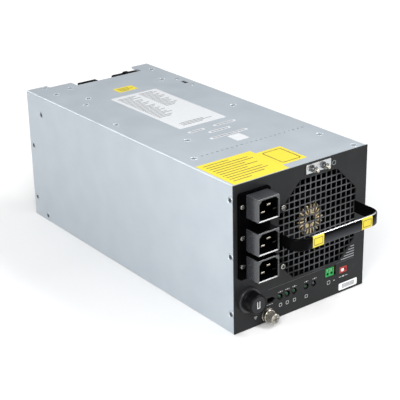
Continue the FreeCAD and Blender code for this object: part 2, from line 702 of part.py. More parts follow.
# Captive screw: ferrule fixed in the panel, retaining ring that slides with the screw
ferrule = turned("captive_ferrule", [
    ("captive_shank + 0.3", "-4.2"), ("4.5", "-4.2"), ("4.5", "0"), ("ferrule_radius + 0.4", "0"),
    ("ferrule_radius + 0.4", "1.1"), ("ferrule_radius - 0.7", "1.5"), ("ferrule_radius - 0.7", "2.6"),
    ("ferrule_radius", "3.0"), ("ferrule_radius", "ferrule_reach - 0.6"), ("ferrule_radius - 0.6", "ferrule_reach"),
    ("captive_head + 0.4", "ferrule_reach"), ("captive_head + 0.4", "1.4"), ("captive_shank + 0.3", "1.4")])
keep(place(ferrule, "captive_x", panel_face, "captive_z", outward))

thread = turned("captive_screw_blank", [
    ("0", "-13"), ("captive_shank - 0.7", "-13"), ("captive_shank", "-12.2"), ("captive_shank", "-6.0"),
    ("captive_shank - 0.6", "-6.0"), ("captive_shank - 0.6", "-4.7"), ("captive_shank", "-4.7"),
    ("captive_shank", "6.4"), ("captive_head", "6.4"), ("captive_head", "captive_reach - 0.9"),
    ("captive_head - 0.9", "captive_reach"), ("0", "captive_reach")])
knurl(thread, "captive_head + 0.15", "0.6", "7.4", "captive_reach - 8.9", 30)
place(thread, "captive_x", panel_face, "captive_z", outward)
recess = feature("captive_recess", placed(cross_recess(0, 8.5, 2.6, 1.7), number("captive_x"),
                                          number(panel_face) - number("captive_reach"), number("captive_z"), outward))
keep(cut("captive_screw", thread, recess))

clip_bore = "captive_shank - 0.6 + running_fit"
clip = turned("captive_clip", [(clip_bore, "-5.85"), ("4.6", "-5.85"), ("4.6", "-4.85"), (clip_bore, "-4.85")])
keep(place(clip, "captive_x", panel_face, "captive_z", outward))


# Indicator board with its lamps, terminal block and red slide switch

def lamp(reach):
    radius = number("led_radius")
    stem = Part.makeCylinder(radius, reach, Vector(0, 0, -number("panel_sheet + board_gap")))
    dome = Part.makeSphere(radius, Vector(0, 0, reach - number("panel_sheet + board_gap")))
    skirt = Part.makeCylinder(radius + 0.5, 1.0, Vector(0, 0, -number("panel_sheet + board_gap")))
    return stem.fuse([dome, skirt]).removeSplitter()


lamp_shape = lamp(number("panel_sheet + board_gap - led_radius") - 0.3)
lamp_y, lamp_z = number(panel_face), number("led_z")
keep(group("led_lenses_green", [placed(lamp_shape, x, lamp_y, lamp_z, outward) for x in led_places[:4]]))
keep(group("led_lens_clear", [placed(lamp_shape, led_places[4], lamp_y, lamp_z, outward)]))

board_y = panel_back + " + board_gap"
posts = [(-38.0, 40.5), (31.0, 21.5), (82.0, 41.5)]
board = box("indicator_board_blank", ("-42", board_y, "18"), ("86", board_y + " + board_thick", "44"))
post_drills = group("indicator_board_drills", [
    Part.makeCylinder(1.7, 4, Vector(x, number(board_y) - 1, z), Vector(0, 1, 0)) for x, z in posts])
keep(cut("indicator_board", board, post_drills))


def post():
    sleeve = Part.makeCylinder(2.8, number("board_gap"))
    return sleeve.fuse(Part.makeCylinder(1.5, 4, Vector(0, 0, number("board_gap")))).removeSplitter()


keep(group("board_posts", [placed(post(), x, number(panel_back), z, rearward) for x, z in posts]))


def build_terminal():
    body = new_body("terminal_block")
    low, high = "-5.2", "5.4"
    pad(body, "XZ_Plane", "0.6", "panel_sheet + board_gap + 0.6", [
        ("-6.9", low), ("6.3", low), ("6.3", high), ("-6.9", high)], back=True)
    pocket(body, "XZ_Plane", "0.6", "7", rectangle("-3.5", "-1.9", "4.2", "3.8"),
           rectangle("2.9", "-1.9", "4.2", "3.8"))
    pocket(body, "XZ_Plane", "0.6", "2.4", rectangle("-3.5", "2.8", "3.6", "3.2"),
           rectangle("2.9", "2.8", "3.6", "3.2"))
    return place(body, "terminal_x", panel_face, "terminal_z")


keep(build_terminal())
clamp = Part.makeCylinder(1.5, 1.5).cut(Part.makeBox(3.2, 0.6, 0.5, Vector(-1.6, -0.3, 1.0)))
keep(group("terminal_screws", [placed(clamp, number("terminal_x") + x, number(panel_face) + 1.8,
                                      number("terminal_z") + 2.8, outward) for x in (-3.5, 2.9)]))


def build_alarm_switch():
    body = new_body("alarm_switch_body")
    pad(body, "XZ_Plane", "-0.4", "panel_sheet + board_gap - 0.4",
        rectangle("0", "0", "alarm_width", "alarm_height"), back=True)
    pocket(body, "XZ_Plane", "-0.4", "4.5", rectangle("0", "0", "8.2", "3.8"))
    return place(body, "alarm_x", panel_face, "alarm_z")


keep(build_alarm_switch())
slider = new_body("alarm_slider")
pad(slider, "XZ_Plane", "-4.5", "5.0", rectangle("-alarm_travel / 2", "0", "4.4", "3.2"))
keep(place(slider, "alarm_x", panel_face, "alarm_z"))

insert = new_body("aperture_insert")
pad(insert, "XZ_Plane", "-panel_sheet - seam_gap", "8", [
    ("-57", "22"), ("-39", "22"), ("-39", "33.2"), ("-57", "33.2")], back=True)
pocket(insert, "XZ_Plane", "-panel_sheet - seam_gap", "6.5", [
    ("-53.6", "24.6"), ("-46.2", "24.6"), ("-42.0", "27.6"), ("-46.2", "30.6"), ("-53.6", "30.6")])
keep(place(insert, y=panel_face))

# Earth plate with two studs and their nuts
earth = new_body("ground_plate_blank")
pad(earth, "XZ_Plane", "0", "1", rectangle("ground_x", "ground_z", "ground_width", "ground_height"))
round_edges(earth, "0.8", lambda e: len(e.Vertexes) == 2 and abs(e.Vertexes[0].Y - e.Vertexes[1].Y) > 0.9)
place(earth, y=panel_face)
stud_places = [number("ground_x") + sign * number("stud_spacing") / 2 for sign in (-1, 1)]
stud_z = number("ground_z") - 1
earth_holes = group("ground_plate_holes", [
    Part.makeCylinder(number("stud_radius") + 0.15, 4, Vector(x, number(panel_face) - 2, stud_z), Vector(0, 1, 0))
    for x in stud_places])
keep(cut("ground_plate", earth, earth_holes))


def earth_stud():
    radius, reach, sheet = number("stud_radius"), number("stud_reach"), number("panel_sheet")
    root, groove, tip = 5.3, 5.7, radius - 0.4     # thread up to the nut's face, relief, then a plain pilot end
    rod = Part.makeCylinder(tip, reach - groove, Vector(0, 0, groove))
    rod = rod.makeChamfer(0.4, [max(rod.Edges, key=lambda e: e.CenterOfMass.z)])
    relief = Part.makeCylinder(tip - 0.4, groove - root, Vector(0, 0, root))
    thread = Part.makeCylinder(radius, root + sheet, Vector(0, 0, -sheet))
    head = Part.makeCylinder(radius + 1.8, 2.2, Vector(0, 0, -sheet - 2.2))
    return rod.fuse([relief, thread, head]).removeSplitter()


def hex_nut(across, height, hole):
    corners = [Vector(across / math.sqrt(3) * math.cos(math.radians(60 * i + 30)),
                      across / math.sqrt(3) * math.sin(math.radians(60 * i + 30)), 0) for i in range(7)]
    block = Part.Face(Part.makePolygon(corners)).extrude(Vector(0, 0, height))
    skirt = Part.makeCone(across / 2 + 1.2, across / 2 - 0.2, 1.4, Vector(0, 0, height - 1.4))
    core = Part.makeCylinder(across, height - 1.4)
    return block.common(core.fuse(skirt)).cut(Part.makeCylinder(hole, height))


keep(group("ground_studs", [placed(earth_stud(), x, number(panel_face), stud_z, outward) for x in stud_places]))
nut = hex_nut(8.0, 4.0, number("stud_radius") + 0.02)
keep(group("ground_nuts", [placed(nut, x, number(panel_face) - 1, stud_z, outward) for x in stud_places]))


# Rear panel, set in from the rear edge, with the two corner brackets of the cover's tabs

connectors = {"left": (-9.5, 31.0), "right": (54.6, 42.6)}   # middle and width of the output connectors
connector_low, connector_high = 150.0, 184.3
fan_sides = {"left": "-fan_x", "right": "fan_x"}


def fan_corners(side):
    x, z, off = number(fan_sides[side]), number("fan_z"), number("fan_hole")
    return [(x + dx * off, z + dz * off) for dx in (-1, 1) for dz in (-1, 1)]


def build_rear_panel():
    body = new_body("rear_panel_fold")
    edge, low = inner_half, "case_sheet + seam_gap"
    inside, above, below = f"{edge} - case_sheet", f"{low} + case_sheet", f"{ceiling} - case_sheet"
    sheet_edge = [(f"-({edge})", low), (edge, low), (edge, ceiling), (f"-({edge})", ceiling)]
    pad(body, "XZ_Plane", "0", "case_sheet", sheet_edge)
    pad(body, "XZ_Plane", "case_sheet", "rear_return", sheet_edge, [
        (f"-({inside})", above), (inside, above), (inside, below), (f"-({inside})", below)])
    windows = [rectangle(str(x), str((connector_low + connector_high) / 2), f"{width} + 0.4",
                         f"{connector_high - connector_low} + 0.4") for x, width in connectors.values()]
    pocket(body, "XZ_Plane", "case_sheet + 1", "case_sheet + 2", *windows)
    place(body, y=rear_face)
    start, through = number(rear_inner) - 1, number("case_sheet") + 2
    drills = []
    for side, x in fan_sides.items():
        drills.append(Part.makeCylinder(number("fan_bore"), through,
                                        Vector(number(x), start, number("fan_z")), Vector(0, 1, 0)))
        drills += [Part.makeCylinder(2.2, through, Vector(px, start, pz), Vector(0, 1, 0))
                   for px, pz in fan_corners(side)]
    holes = feature("rear_panel_holes", Part.makeCompound(drills))
    return cut("rear_panel", body, holes, screw_holes)


keep(build_rear_panel())


def build_bracket(name, sign):
    near, wide = f"({inner_half})", "28"
    low = 16.0
    left, right = (f"-{near}", f"-{near} + {wide}") if sign < 0 else (f"{near} - {wide}", near)
    shelf = box(name + "_shelf", (left, rear_face + " + 3", ceiling + " - 1.5"),
                (right, "case_depth / 2 - 1", ceiling))
    side = left if sign < 0 else f"{near} - 1.5"
    web = box(name + "_web", (side, rear_face + " + 3", str(low)), (f"{side} + 1.5", "case_depth / 2 - 1", ceiling))
    return cut(name, fuse(name + "_angle", shelf, web), screw_holes)


keep(build_bracket("rear_bracket_left", -1))
keep(build_bracket("rear_bracket_right", 1))

# Two cooling fans behind the rear panel, each with a frame, a rotor and a wire guard
hub_disc = 5.0                                     # motor disc that carries the bearing
rotor_gap = 0.6


def build_fan_frame(side):
    name, x = "fan_frame_" + side, fan_sides[side]
    front = f"{rear_inner} - fan_thick"
    shell = box(name + "_block", (f"{x} - fan_size / 2", front, "fan_z - fan_size / 2"),
                (f"{x} + fan_size / 2", rear_inner, "fan_z + fan_size / 2"))
    bore = cylinder(name + "_bore", "fan_bore", "fan_thick + 2", (x, f"{front} - 1", "fan_z"), rearward)
    ring = cut(name + "_ring", shell, bore)
    disc = cylinder(name + "_disc", "fan_hub", str(hub_disc), (x, f"{rear_inner} - {hub_disc}", "fan_z"), rearward)
    struts = [box(f"{name}_strut_x", (f"{x} - fan_bore - 0.8", f"{rear_inner} - 4", "fan_z - 2.5"),
                  (f"{x} + fan_bore + 0.8", rear_inner, "fan_z + 2.5")),
              box(f"{name}_strut_z", (f"{x} - 2.5", f"{rear_inner} - 4", "fan_z - fan_bore - 0.8"),
                  (f"{x} + 2.5", rear_inner, "fan_z + fan_bore + 0.8"))]
    start = number(front) - 1
    drills = [Part.makeCylinder(1.85, number("fan_thick") + 2, Vector(px, start, pz), Vector(0, 1, 0))
              for px, pz in fan_corners(side)]
    drills.append(Part.makeCylinder(2.0 + number("running_fit"), number("fan_thick") + 2,
                                    Vector(number(x), start, number("fan_z")), Vector(0, 1, 0)))
    holes = feature(name + "_holes", Part.makeCompound(drills))
    return cut(name, fuse(name + "_web", ring, disc, *struts), holes)


def build_fan_rotor(side):
    blades, tilt, chord, thick, tip = 7, 40, 18.0, 1.6, 42.4
    hub_end = hub_disc + rotor_gap
    hub_length = number("fan_thick") - hub_end - 2.0
    hub = Part.makeCylinder(number("fan_hub"), hub_length, Vector(0, -hub_end - hub_length, 0), Vector(0, 1, 0))
    hub = hub.makeFillet(1.5, [min(hub.Edges, key=lambda e: e.CenterOfMass.y)])
    shaft = Part.makeCylinder(2.0, hub_end - 0.5, Vector(0, -hub_end, 0), Vector(0, 1, 0))
    root = number("fan_hub") - 2
    blade = Part.makeBox(tip - root, chord, thick, Vector(root, -chord / 2, -thick / 2))
    blade.Placement = Placement(Vector(), Rotation(Vector(1, 0, 0), tilt))
    middle = Vector(0, -hub_end - hub_length / 2, 0)
    fins = []
    for i in range(blades):
        fin = blade.copy()
        fin.Placement = Placement(middle, Rotation(Vector(0, 1, 0), 360 * i / blades)).multiply(fin.Placement)
        fins.append(fin)
    rotor = feature("fan_rotor_" + side, hub.fuse([shaft] + fins).removeSplitter())
    return place(rotor, fan_sides[side], rear_inner, "fan_z")


def build_fan_guard(side):
    wire, corner = 0.9, number("fan_hole") * math.sqrt(2)
    face = number(rear_face)
    axis = Vector(0, 1, 0)
    centre = Vector(number(fan_sides[side]), face + wire, number("fan_z"))
    rings = [Part.makeTorus(radius, wire, centre + Vector(0, 1.0, 0), axis) for radius in (13, 23.5, 34, 44.5)]
    rods = []
    for x, z in fan_corners(side):
        aim = Vector(x - centre.x, 0, z - centre.z).normalize()
        rods.append(Part.makeCylinder(wire, corner - 3.0 - 12.5, centre + aim * 12.5, aim))
        loop = Part.makeTorus(3.4, wire, Vector(), axis)
        loop.rotate(Vector(), axis, 20)            # turns the seam away from the rod
        loop.translate(Vector(x, face + 1.1 * wire, z))
        rings.append(loop)
    return feature("fan_guard_" + side, rings[0].fuse(rings[1:] + rods).removeSplitter())


fan_screw = pan_screw(3.6, 2.2, 1.75, 20)
fan_screw_y = number(rear_face) + 1.95
for side in fan_sides:
    keep(build_fan_frame(side))
    keep(build_fan_rotor(side))
    keep(build_fan_guard(side))
keep(group("fan_screws", [placed(fan_screw, x, fan_screw_y, z, rearward)
                          for side in fan_sides for x, z in fan_corners(side)]))

# Output connectors in the rear panel, with their contact blades
slot_wide, slot_tall, slot_deep, slot_pitch = 3.0, 22.0, 15.0, 6.4
connector_reach = 16.8
contact_thick = 1.4


def slot_places(side):
    middle, width = connectors[side]
    count = int((width - 4) // slot_pitch)
    return [middle + slot_pitch * (i - (count - 1) / 2) for i in range(count)]


def build_connector(side):
    middle, width = connectors[side]
    z, tall = (connector_low + connector_high) / 2, connector_high - connector_low
    body = new_body("output_connector_" + side)
    pad(body, "XZ_Plane", f"-{connector_reach}", f"{connector_reach} + case_sheet + 10",
        rectangle(str(middle), str(z), str(width), str(tall)))
    far = connector_reach
    round_edges(body, "1.5", lambda e: len(e.Vertexes) == 2 and abs(e.Vertexes[0].Y - e.Vertexes[1].Y) > far)
    pad(body, "XZ_Plane", "case_sheet", "3", rectangle(str(middle), str(z), f"{width} + 6", str(tall)))
    if side == "right":
        pad(body, "XZ_Plane", f"-{connector_reach}", f"{connector_reach} - 1",
            [("52.5", str(connector_high - 1)), ("60", str(connector_high - 1)),
             ("60", str(connector_high + 1.6)), ("52.5", str(connector_high + 1.6))])
    slots = [rectangle(str(x), str(z), str(slot_wide), str(slot_tall)) for x in slot_places(side)]
    pocket(body, "XZ_Plane", f"-{connector_reach}", str(slot_deep), *slots, back=True)
    return place(body, y=rear_face)


def output_contacts():
    face = number(rear_face) + connector_reach
    z = (connector_low + connector_high) / 2
    return [Part.makeBox(contact_thick, slot_deep - 2, slot_tall - 4,
                         Vector(x - contact_thick / 2, face - slot_deep, z - slot_tall / 2 + 2))
            for side in connectors for x in slot_places(side)]


for side in connectors:
    keep(build_connector(side))
keep(group("output_contacts", output_contacts()))


# Inside: main board, heatsinks, transformer, capacitors, bus bars and the choke behind the grille

board_top = "main_board_z + board_thick"
main_low, main_high = panel_face + " + 52", rear_inner + " - fan_thick - 4"
standoff_places = [(x, number(y) + off) for x in (-80.0, 80.0)
                   for y, off in ((main_low, 8), (main_low, 175), (main_high, -8))]
main_blank = box("main_board_blank", ("-96", main_low, "main_board_z"), ("96", main_high, board_top))
main_holes = group("main_board_holes", [Part.makeCylinder(1.7, 6, Vector(x, y, number("main_board_z") - 2))
                                        for x, y in standoff_places])
keep(cut("main_board", main_blank, main_holes))


def standoff():
    low, high = number("case_sheet"), number("main_board_z")
    sleeve = Part.makeCylinder(3.5, high - low, Vector(0, 0, low))
    return sleeve.fuse(Part.makeCylinder(1.5, 4, Vector(0, 0, high))).removeSplitter()


keep(group("board_standoffs", [placed(standoff(), x, y, 0) for x, y in standoff_places]))


def build_heatsink(side, low_y, high_y, rooms):
    # Upright back, a flange under the cover and a row of level fins, one extruded section.
    name, mirror = "heatsink_" + side, "-" if side == "left" else ""
    flange = "47" if side == "left" else "66"
    fin_edge = "62" if side == "left" else "70"

    def slab(label, x0, x1, z0, z1):
        ends = sorted((f"{mirror}{x0}", f"{mirror}{x1}"), key=number)
        return box(f"{name}_{label}", (ends[0], low_y, z0), (ends[1], high_y, z1))

    parts = [slab("back", "91", "95", "cooler_low", ceiling),
             slab("flange", flange, "95", f"{ceiling} - 3.2", ceiling)]
    for i in range(7):
        z = f"cooler_low + 6 + {20 * i}"
        parts.append(slab(f"fin{i}", fin_edge, "92", z, f"{z} + 2.4"))
    foot = slab("foot", "88", "95", board_top, "cooler_low + 1")
    return cut(name, fuse(name + "_comb", foot, *parts), screw_holes, *rooms)


strip_room = box("nut_strip_room", ("83.6", panel_face + " + 327", ceiling + " - 4"),
                 ("95.5", panel_face + " + 376", "case_height"))
keep(build_heatsink("left", panel_face + " + 90", main_high, []))
keep(build_heatsink("right", panel_face + " + 58", main_high, [strip_room]))

# Transformer: ferrite shell with a winding round its middle leg
core_half = box("transformer_shell", ("-36", "18", board_top), ("36", "78", f"{board_top} + 58"))
window_left = box("transformer_window_left", ("-27", "17", f"{board_top} + 9"), ("-12", "79", f"{board_top} + 49"))
window_right = box("transformer_window_right", ("12", "17", f"{board_top} + 9"), ("27", "79", f"{board_top} + 49"))
keep(cut("transformer_core", core_half, window_left, window_right))
winding = new_body("transformer_winding")
pad(winding, "XY_Plane", "0", "38", rectangle("0", "0", "53", "76"))
round_edges(winding, "9", lambda e: len(e.Vertexes) == 2 and abs(e.Vertexes[0].Z - e.Vertexes[1].Z) > 30)
pocket(winding, "XY_Plane", "39", "40", rectangle("0", "0", "24", "60"))
place(winding, "0", "48", f"{board_top} + 10")
keep(winding)

capacitor_radius, capacitor_height = 17.5, 62.0
can = Part.makeCylinder(capacitor_radius, capacitor_height)
can = can.makeFillet(2.0, [max(can.Edges, key=lambda e: e.CenterOfMass.z)])
keep(group("bulk_capacitors", [placed(can, x, y, number(board_top)) for x in (-19.0, 19.0) for y in (-118.0, -78.0)]))

# Bus bars climb from the board over the fans to the connectors.
bars = []
for middle, width in connectors.values():
    riser_y = f"{main_high} - 12"
    low, top = f"{connector_low} + 8", f"{connector_low} + 24"
    left, right = f"{middle - 2}", f"{middle + 2}"
    riser = box("bus_riser", (left, riser_y, board_top), (right, f"{riser_y} + 10", top))
    arm = box("bus_arm", (left, riser_y, low), (right, f"{rear_inner} - 10", top))
    bars.append(fuse("bus_bar", riser, arm))
bus_bars = doc.addObject("Part::Compound", "bus_bars")
bus_bars.Links = bars
keep(bus_bars)

# Choke: ring core and its winding on an upright filter board
choke_y, choke_half = panel_face + " + 31", 11.0
filter_y = f"{choke_y} + {choke_half} + 0.5"
keep(box("filter_board", ("6", filter_y, "case_sheet + 3"), ("80", filter_y + " + board_thick", "128")))
ring = turned("choke_core", [
    ("8.5", "-7.5"), ("choke_radius - 2.5", "-7.5"), ("choke_radius - 2.5", "7.5"), ("8.5", "7.5")])
keep(place(ring, "choke_x", choke_y, "choke_z", outward))


def choke_turns():
    # One wire loop round the core's section, copied about the ring's axis.
    count, wire, bend, gap = 20, 1.05, 2.0, 0.3
    left, right = 8.5 - wire - gap, number("choke_radius") - 2.5 + wire + gap
    low, high = -7.5 - wire - gap, 7.5 + wire + gap
    corners = [(left, low, 225), (right, low, 315), (right, high, 45), (left, high, 135)]
    ends = []
    path = []
    for x, z, aim in corners:
        centre = Vector(x - math.copysign(bend, math.cos(math.radians(aim))), 0,
                        z - math.copysign(bend, math.sin(math.radians(aim))))
        points = [centre + Vector(bend * math.cos(math.radians(aim + turn)), 0,
                                  bend * math.sin(math.radians(aim + turn))) for turn in (-45, 0, 45)]
        path.append(Part.Arc(*points).toShape())
        ends.append(points)
    for i in range(4):
        path.append(Part.makeLine(ends[i][2], ends[(i + 1) % 4][0]))
    spine = Part.Wire(Part.__sortEdges__(path))
    start = spine.OrderedEdges[0]
    profile = Part.Wire(Part.makeCircle(wire, start.valueAt(start.FirstParameter),
                                        start.tangentAt(start.FirstParameter)))
    turn = spine.makePipeShell([profile], True, True)
    middle = Placement(Vector(number("choke_x"), number(choke_y), number("choke_z")), outward)
    loops = []
    for i in range(count):
        loop = turn.copy()
        loop.Placement = middle.multiply(Placement(Vector(), Rotation(Vector(0, 0, 1), 360 * i / count)))
        loops.append(loop)
    return loops


keep(group("choke_winding", choke_turns()))

# Check every object, then write one file for each sub-part
doc.recompute()
for obj in doc.Objects:
    if {"Invalid", "Error"} & set(obj.State):
        raise RuntimeError(f"{obj.Label} failed: {obj.State}")
for obj in nodes:
    if obj.Shape.isNull() or not obj.Shape.isValid():
        raise RuntimeError(f"{obj.Label} has no valid shape")
os.makedirs("parts", exist_ok=True)
for obj in nodes:
    obj.Shape.exportStep(f"parts/{obj.Label}.step")
    print(f"{obj.Label}: {len(obj.Shape.Solids)} solids, {obj.Shape.Volume / 1000:.2f} cm3")
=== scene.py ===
import json
import math
import bmesh
import bpy
from mathutils import Matrix, Vector


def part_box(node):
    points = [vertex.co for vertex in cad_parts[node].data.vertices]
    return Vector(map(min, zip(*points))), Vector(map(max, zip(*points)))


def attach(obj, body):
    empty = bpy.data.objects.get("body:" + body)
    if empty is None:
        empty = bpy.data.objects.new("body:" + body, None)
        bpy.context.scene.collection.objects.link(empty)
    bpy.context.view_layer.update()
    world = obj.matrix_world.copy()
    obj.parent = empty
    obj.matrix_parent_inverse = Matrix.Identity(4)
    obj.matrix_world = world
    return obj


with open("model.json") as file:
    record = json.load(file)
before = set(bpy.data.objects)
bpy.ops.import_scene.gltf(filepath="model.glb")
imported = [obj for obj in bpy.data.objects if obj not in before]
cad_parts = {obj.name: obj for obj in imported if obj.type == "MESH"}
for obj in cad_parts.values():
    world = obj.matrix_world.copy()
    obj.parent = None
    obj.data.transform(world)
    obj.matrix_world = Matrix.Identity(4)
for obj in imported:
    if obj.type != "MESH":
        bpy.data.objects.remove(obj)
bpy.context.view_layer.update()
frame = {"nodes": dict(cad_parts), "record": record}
mm = 0.001
panelY = -0.232                                   # front face of the panel
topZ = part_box("outer_cover")[1].z
print("frame loaded,", len(frame["nodes"]), "nodes")


# Finishes

def hexColor(code):
    parts = [int(code[i:i + 2], 16) / 255 for i in (1, 3, 5)]
    linear = [c / 12.92 if c <= 0.04045 else ((c + 0.055) / 1.055) ** 2.4 for c in parts]
    return (*linear, 1.0)


def perMm(size):                                  # pattern scale for a feature of this many millimetres
    return 1000.0 / size


def addNode(tree, kind, settings, links=()):
    node = tree.nodes.new("ShaderNode" + kind)
    for name, value in settings.items():
        if name == "stops":
            ramp = node.color_ramp.elements
            while len(ramp) < len(value):
                ramp.new(0.5)
            for stop, (place, code) in zip(ramp, value):
                stop.position = place
                stop.color = hexColor(code)
        elif isinstance(name, int) or name in node.inputs:
            node.inputs[name].default_value = value
        else:
            setattr(node, name, value)
    for name, source in dict(links).items():
        tree.links.new(source, node.inputs[name])
    return node


def newFinish(name, **sockets):
    finish = bpy.data.materials.new(name)
    finish.use_nodes = True
    tree = finish.node_tree
    shader = tree.nodes["Principled BSDF"]
    for socket, value in sockets.items():
        shader.inputs[socket.replace("_", " ")].default_value = value
    place = addNode(tree, "TexCoord", {}).outputs["Object"]
    return finish, tree, shader, place


def joinTo(tree, shader, color, rough=None, bump=None, strength=0.0, height=0.0):   # height in millimetres
    tree.links.new(color, shader.inputs["Base Color"])
    if rough:
        tree.links.new(rough, shader.inputs["Roughness"])
    if bump:
        relief = addNode(tree, "Bump", {"Strength": strength, "Distance": height * mm}, {"Height": bump})
        tree.links.new(relief.outputs["Normal"], shader.inputs["Normal"])


foldStart = (103.5 + 187.5 - 2.0) * mm            # half width plus height, less the bend of the cover


def galvanisedSheet():
    # Bright galvanised sheet: cool pale zinc, even satin sheen, faint patches, rolled grain.
    # The folds carry a painted highlight: paler tones along the bend of the cover.
    finish, tree, shader, place = newFinish("galvanisedSheet", Metallic=0.5)
    rolled = addNode(tree, "Mapping", {"Scale": (1.0, 0.1, 1.0)}, {"Vector": place}).outputs[0]
    grain = addNode(tree, "TexNoise", {"Scale": perMm(1.4), "Detail": 2.0}, {"Vector": rolled}).outputs[0]
    cloud = addNode(tree, "TexNoise", {"Scale": perMm(35), "Detail": 1.0}, {"Vector": place}).outputs[0]
    someGrain = {"operation": "MULTIPLY_ADD", 1: 0.3}
    blend = addNode(tree, "Math", someGrain, {0: grain, 2: cloud}).outputs[0]
    spot = addNode(tree, "SeparateXYZ", {}, {"Vector": place}).outputs
    out = addNode(tree, "Math", {"operation": "ABSOLUTE"}, {0: spot["X"]}).outputs[0]
    slant = addNode(tree, "Math", {"operation": "ADD"}, {0: out, 1: spot["Z"]}).outputs[0]
    bend = {"From Min": foldStart + 0.35 * mm, "From Max": foldStart + 0.8 * mm, "To Max": 0.5}
    foldHighlight = addNode(tree, "MapRange", bend, {"Value": slant}).outputs[0]
    spread = {"From Min": 0.4, "From Max": 0.9, "To Max": 0.4}
    patch = addNode(tree, "MapRange", spread, {"Value": blend}).outputs[0]
    shade = addNode(tree, "Math", {"operation": "ADD"}, {0: patch, 1: foldHighlight}).outputs[0]
    stops = [(0.0, "#B8C0C7"), (0.4, "#BEC6CC"), (0.6, "#CCD3D8"), (1.0, "#D4DADF")]
    tone = addNode(tree, "ValToRGB", {"stops": stops}, {"Fac": shade}).outputs[0]
    rough = addNode(tree, "MapRange", {"To Min": 0.44, "To Max": 0.52}, {"Value": shade}).outputs[0]
    joinTo(tree, shader, tone, rough, grain, strength=0.03, height=0.03)
    return finish


grille = {"x": 0.02475, "z": 0.1075, "paintedSheen": 0.058, "edge": 0.065}   # middle, and where the painted sheen on the bars fades


def powderCoat():
    # Charcoal powder coat on sheet steel: satin, uneven black, orange peel drawn coarse so that it shows.
    # The bars of the grille carry a painted highlight, paler on their front face, and the walls of its holes
    # keep the dark coat.
    finish, tree, shader, place = newFinish("charcoalPowderCoat", Specular_IOR_Level=0.2)
    peel = addNode(tree, "TexNoise", {"Scale": perMm(0.9), "Detail": 2.0}, {"Vector": place}).outputs[0]
    cloud = addNode(tree, "TexNoise", {"Scale": perMm(45), "Detail": 2.0}, {"Vector": place}).outputs[0]
    middle = {"Location": (-grille["x"], 0, -grille["z"]), "Scale": (1, 0, 1)}
    flat = addNode(tree, "Mapping", middle, {"Vector": place}).outputs[0]
    reach = addNode(tree, "VectorMath", {"operation": "LENGTH"}, {0: flat}).outputs["Value"]
    around = {"From Min": grille["paintedSheen"], "From Max": grille["edge"], "To Min": 0.5, "To Max": 0.0}
    bars = addNode(tree, "MapRange", around, {"Value": reach}).outputs[0]
    depth = addNode(tree, "SeparateXYZ", {}, {"Vector": place}).outputs["Y"]
    skin = {"From Min": panelY, "From Max": panelY + 0.4 * mm, "To Min": 1.0, "To Max": 0.0}
    front = addNode(tree, "MapRange", skin, {"Value": depth}).outputs[0]
    paintedSheen = addNode(tree, "Math", {"operation": "MULTIPLY"}, {0: bars, 1: front}).outputs[0]
    halfCloud = {"operation": "MULTIPLY_ADD", 1: 0.5}
    toneAndPaintedLight = addNode(tree, "Math", halfCloud, {0: cloud, 2: paintedSheen}).outputs[0]
    stops = [(0.15, "#1A1B1C"), (0.35, "#212223"), (0.65, "#4E4F51"), (0.85, "#58595B")]
    tone = addNode(tree, "ValToRGB", {"stops": stops}, {"Fac": toneAndPaintedLight}).outputs[0]
    rough = addNode(tree, "MapRange", {"To Min": 0.36, "To Max": 0.48}, {"Value": peel}).outputs[0]
    joinTo(tree, shader, tone, rough, peel, strength=0.12, height=0.08)
    return finish


def enamelWithPaintedLight(low, high, bar):
    # Black enamel on the bent strap: painted shade keeps the legs and left bend deep black, and a painted
    # reflection greys the bar towards its lower edge.
    # The edges of the bar are bare metal with a painted highlight, a bright line along the top edge.
    finish, tree, shader, place = newFinish("blackEnamel", Specular_IOR_Level=0.02)
    black, topBlack, topHighlight = 0.8, 0.9, 0.98     # places on the ramp of tones below
    grip = {"From Min": -34 * mm, "From Max": -16 * mm}   # from the left bend to the bar
    legs = {"From Min": bar, "From Max": bar + 2 * mm, "To Max": black}
    spot = addNode(tree, "SeparateXYZ", {}, {"Vector": place}).outputs
    band = addNode(tree, "MapRange", {"From Min": low, "From Max": high}, {"Value": spot["Z"]}).outputs[0]
    bend = addNode(tree, "MapRange", {**grip, "To Min": black, "To Max": 0.0}, {"Value": spot["X"]}).outputs[0]
    leg = addNode(tree, "MapRange", legs, {"Value": spot["Y"]}).outputs[0]
    foot = addNode(tree, "Math", {"operation": "MAXIMUM"}, {0: bend, 1: leg}).outputs[0]
    upper = {**grip, "To Min": topBlack, "To Max": topHighlight}
    edge = addNode(tree, "MapRange", upper, {"Value": spot["X"]}).outputs[0]
    lessOnLegs = {"operation": "MULTIPLY_ADD", 1: (topBlack - topHighlight) / black}
    crest = addNode(tree, "Math", lessOnLegs, {0: leg, 2: edge}).outputs[0]
    height = addNode(tree, "MapRange", {}, {"Value": band, "To Min": foot, "To Max": crest}).outputs[0]
    smear = addNode(tree, "TexNoise", {"Scale": perMm(14), "Detail": 3.0}, {"Vector": place}).outputs[0]
    uneven = {"operation": "MULTIPLY_ADD", 1: 0.02}
    toneAndPaintedLight = addNode(tree, "Math", uneven, {0: smear, 2: height}).outputs[0]
    tones = [(0.03, "#8A8B8E"), (0.09, "#454649"), (0.35, "#36373A"), (0.6, "#242528"),
             (0.8, "#070708"), (0.945, "#060607"), (0.965, "#E6E7E8")]
    steel = [(0.03, "#FFFFFF"), (0.09, "#000000"), (0.945, "#000000"), (0.965, "#FFFFFF")]
    tone = addNode(tree, "ValToRGB", {"stops": tones}, {"Fac": toneAndPaintedLight}).outputs[0]
    metal = addNode(tree, "ValToRGB", {"stops": steel}, {"Fac": toneAndPaintedLight}).outputs[0]
    rough = addNode(tree, "MapRange", {"To Min": 0.2, "To Max": 0.3}, {"Value": smear}).outputs[0]
    tree.links.new(metal, shader.inputs["Metallic"])
    joinTo(tree, shader, tone, rough)
    return finish


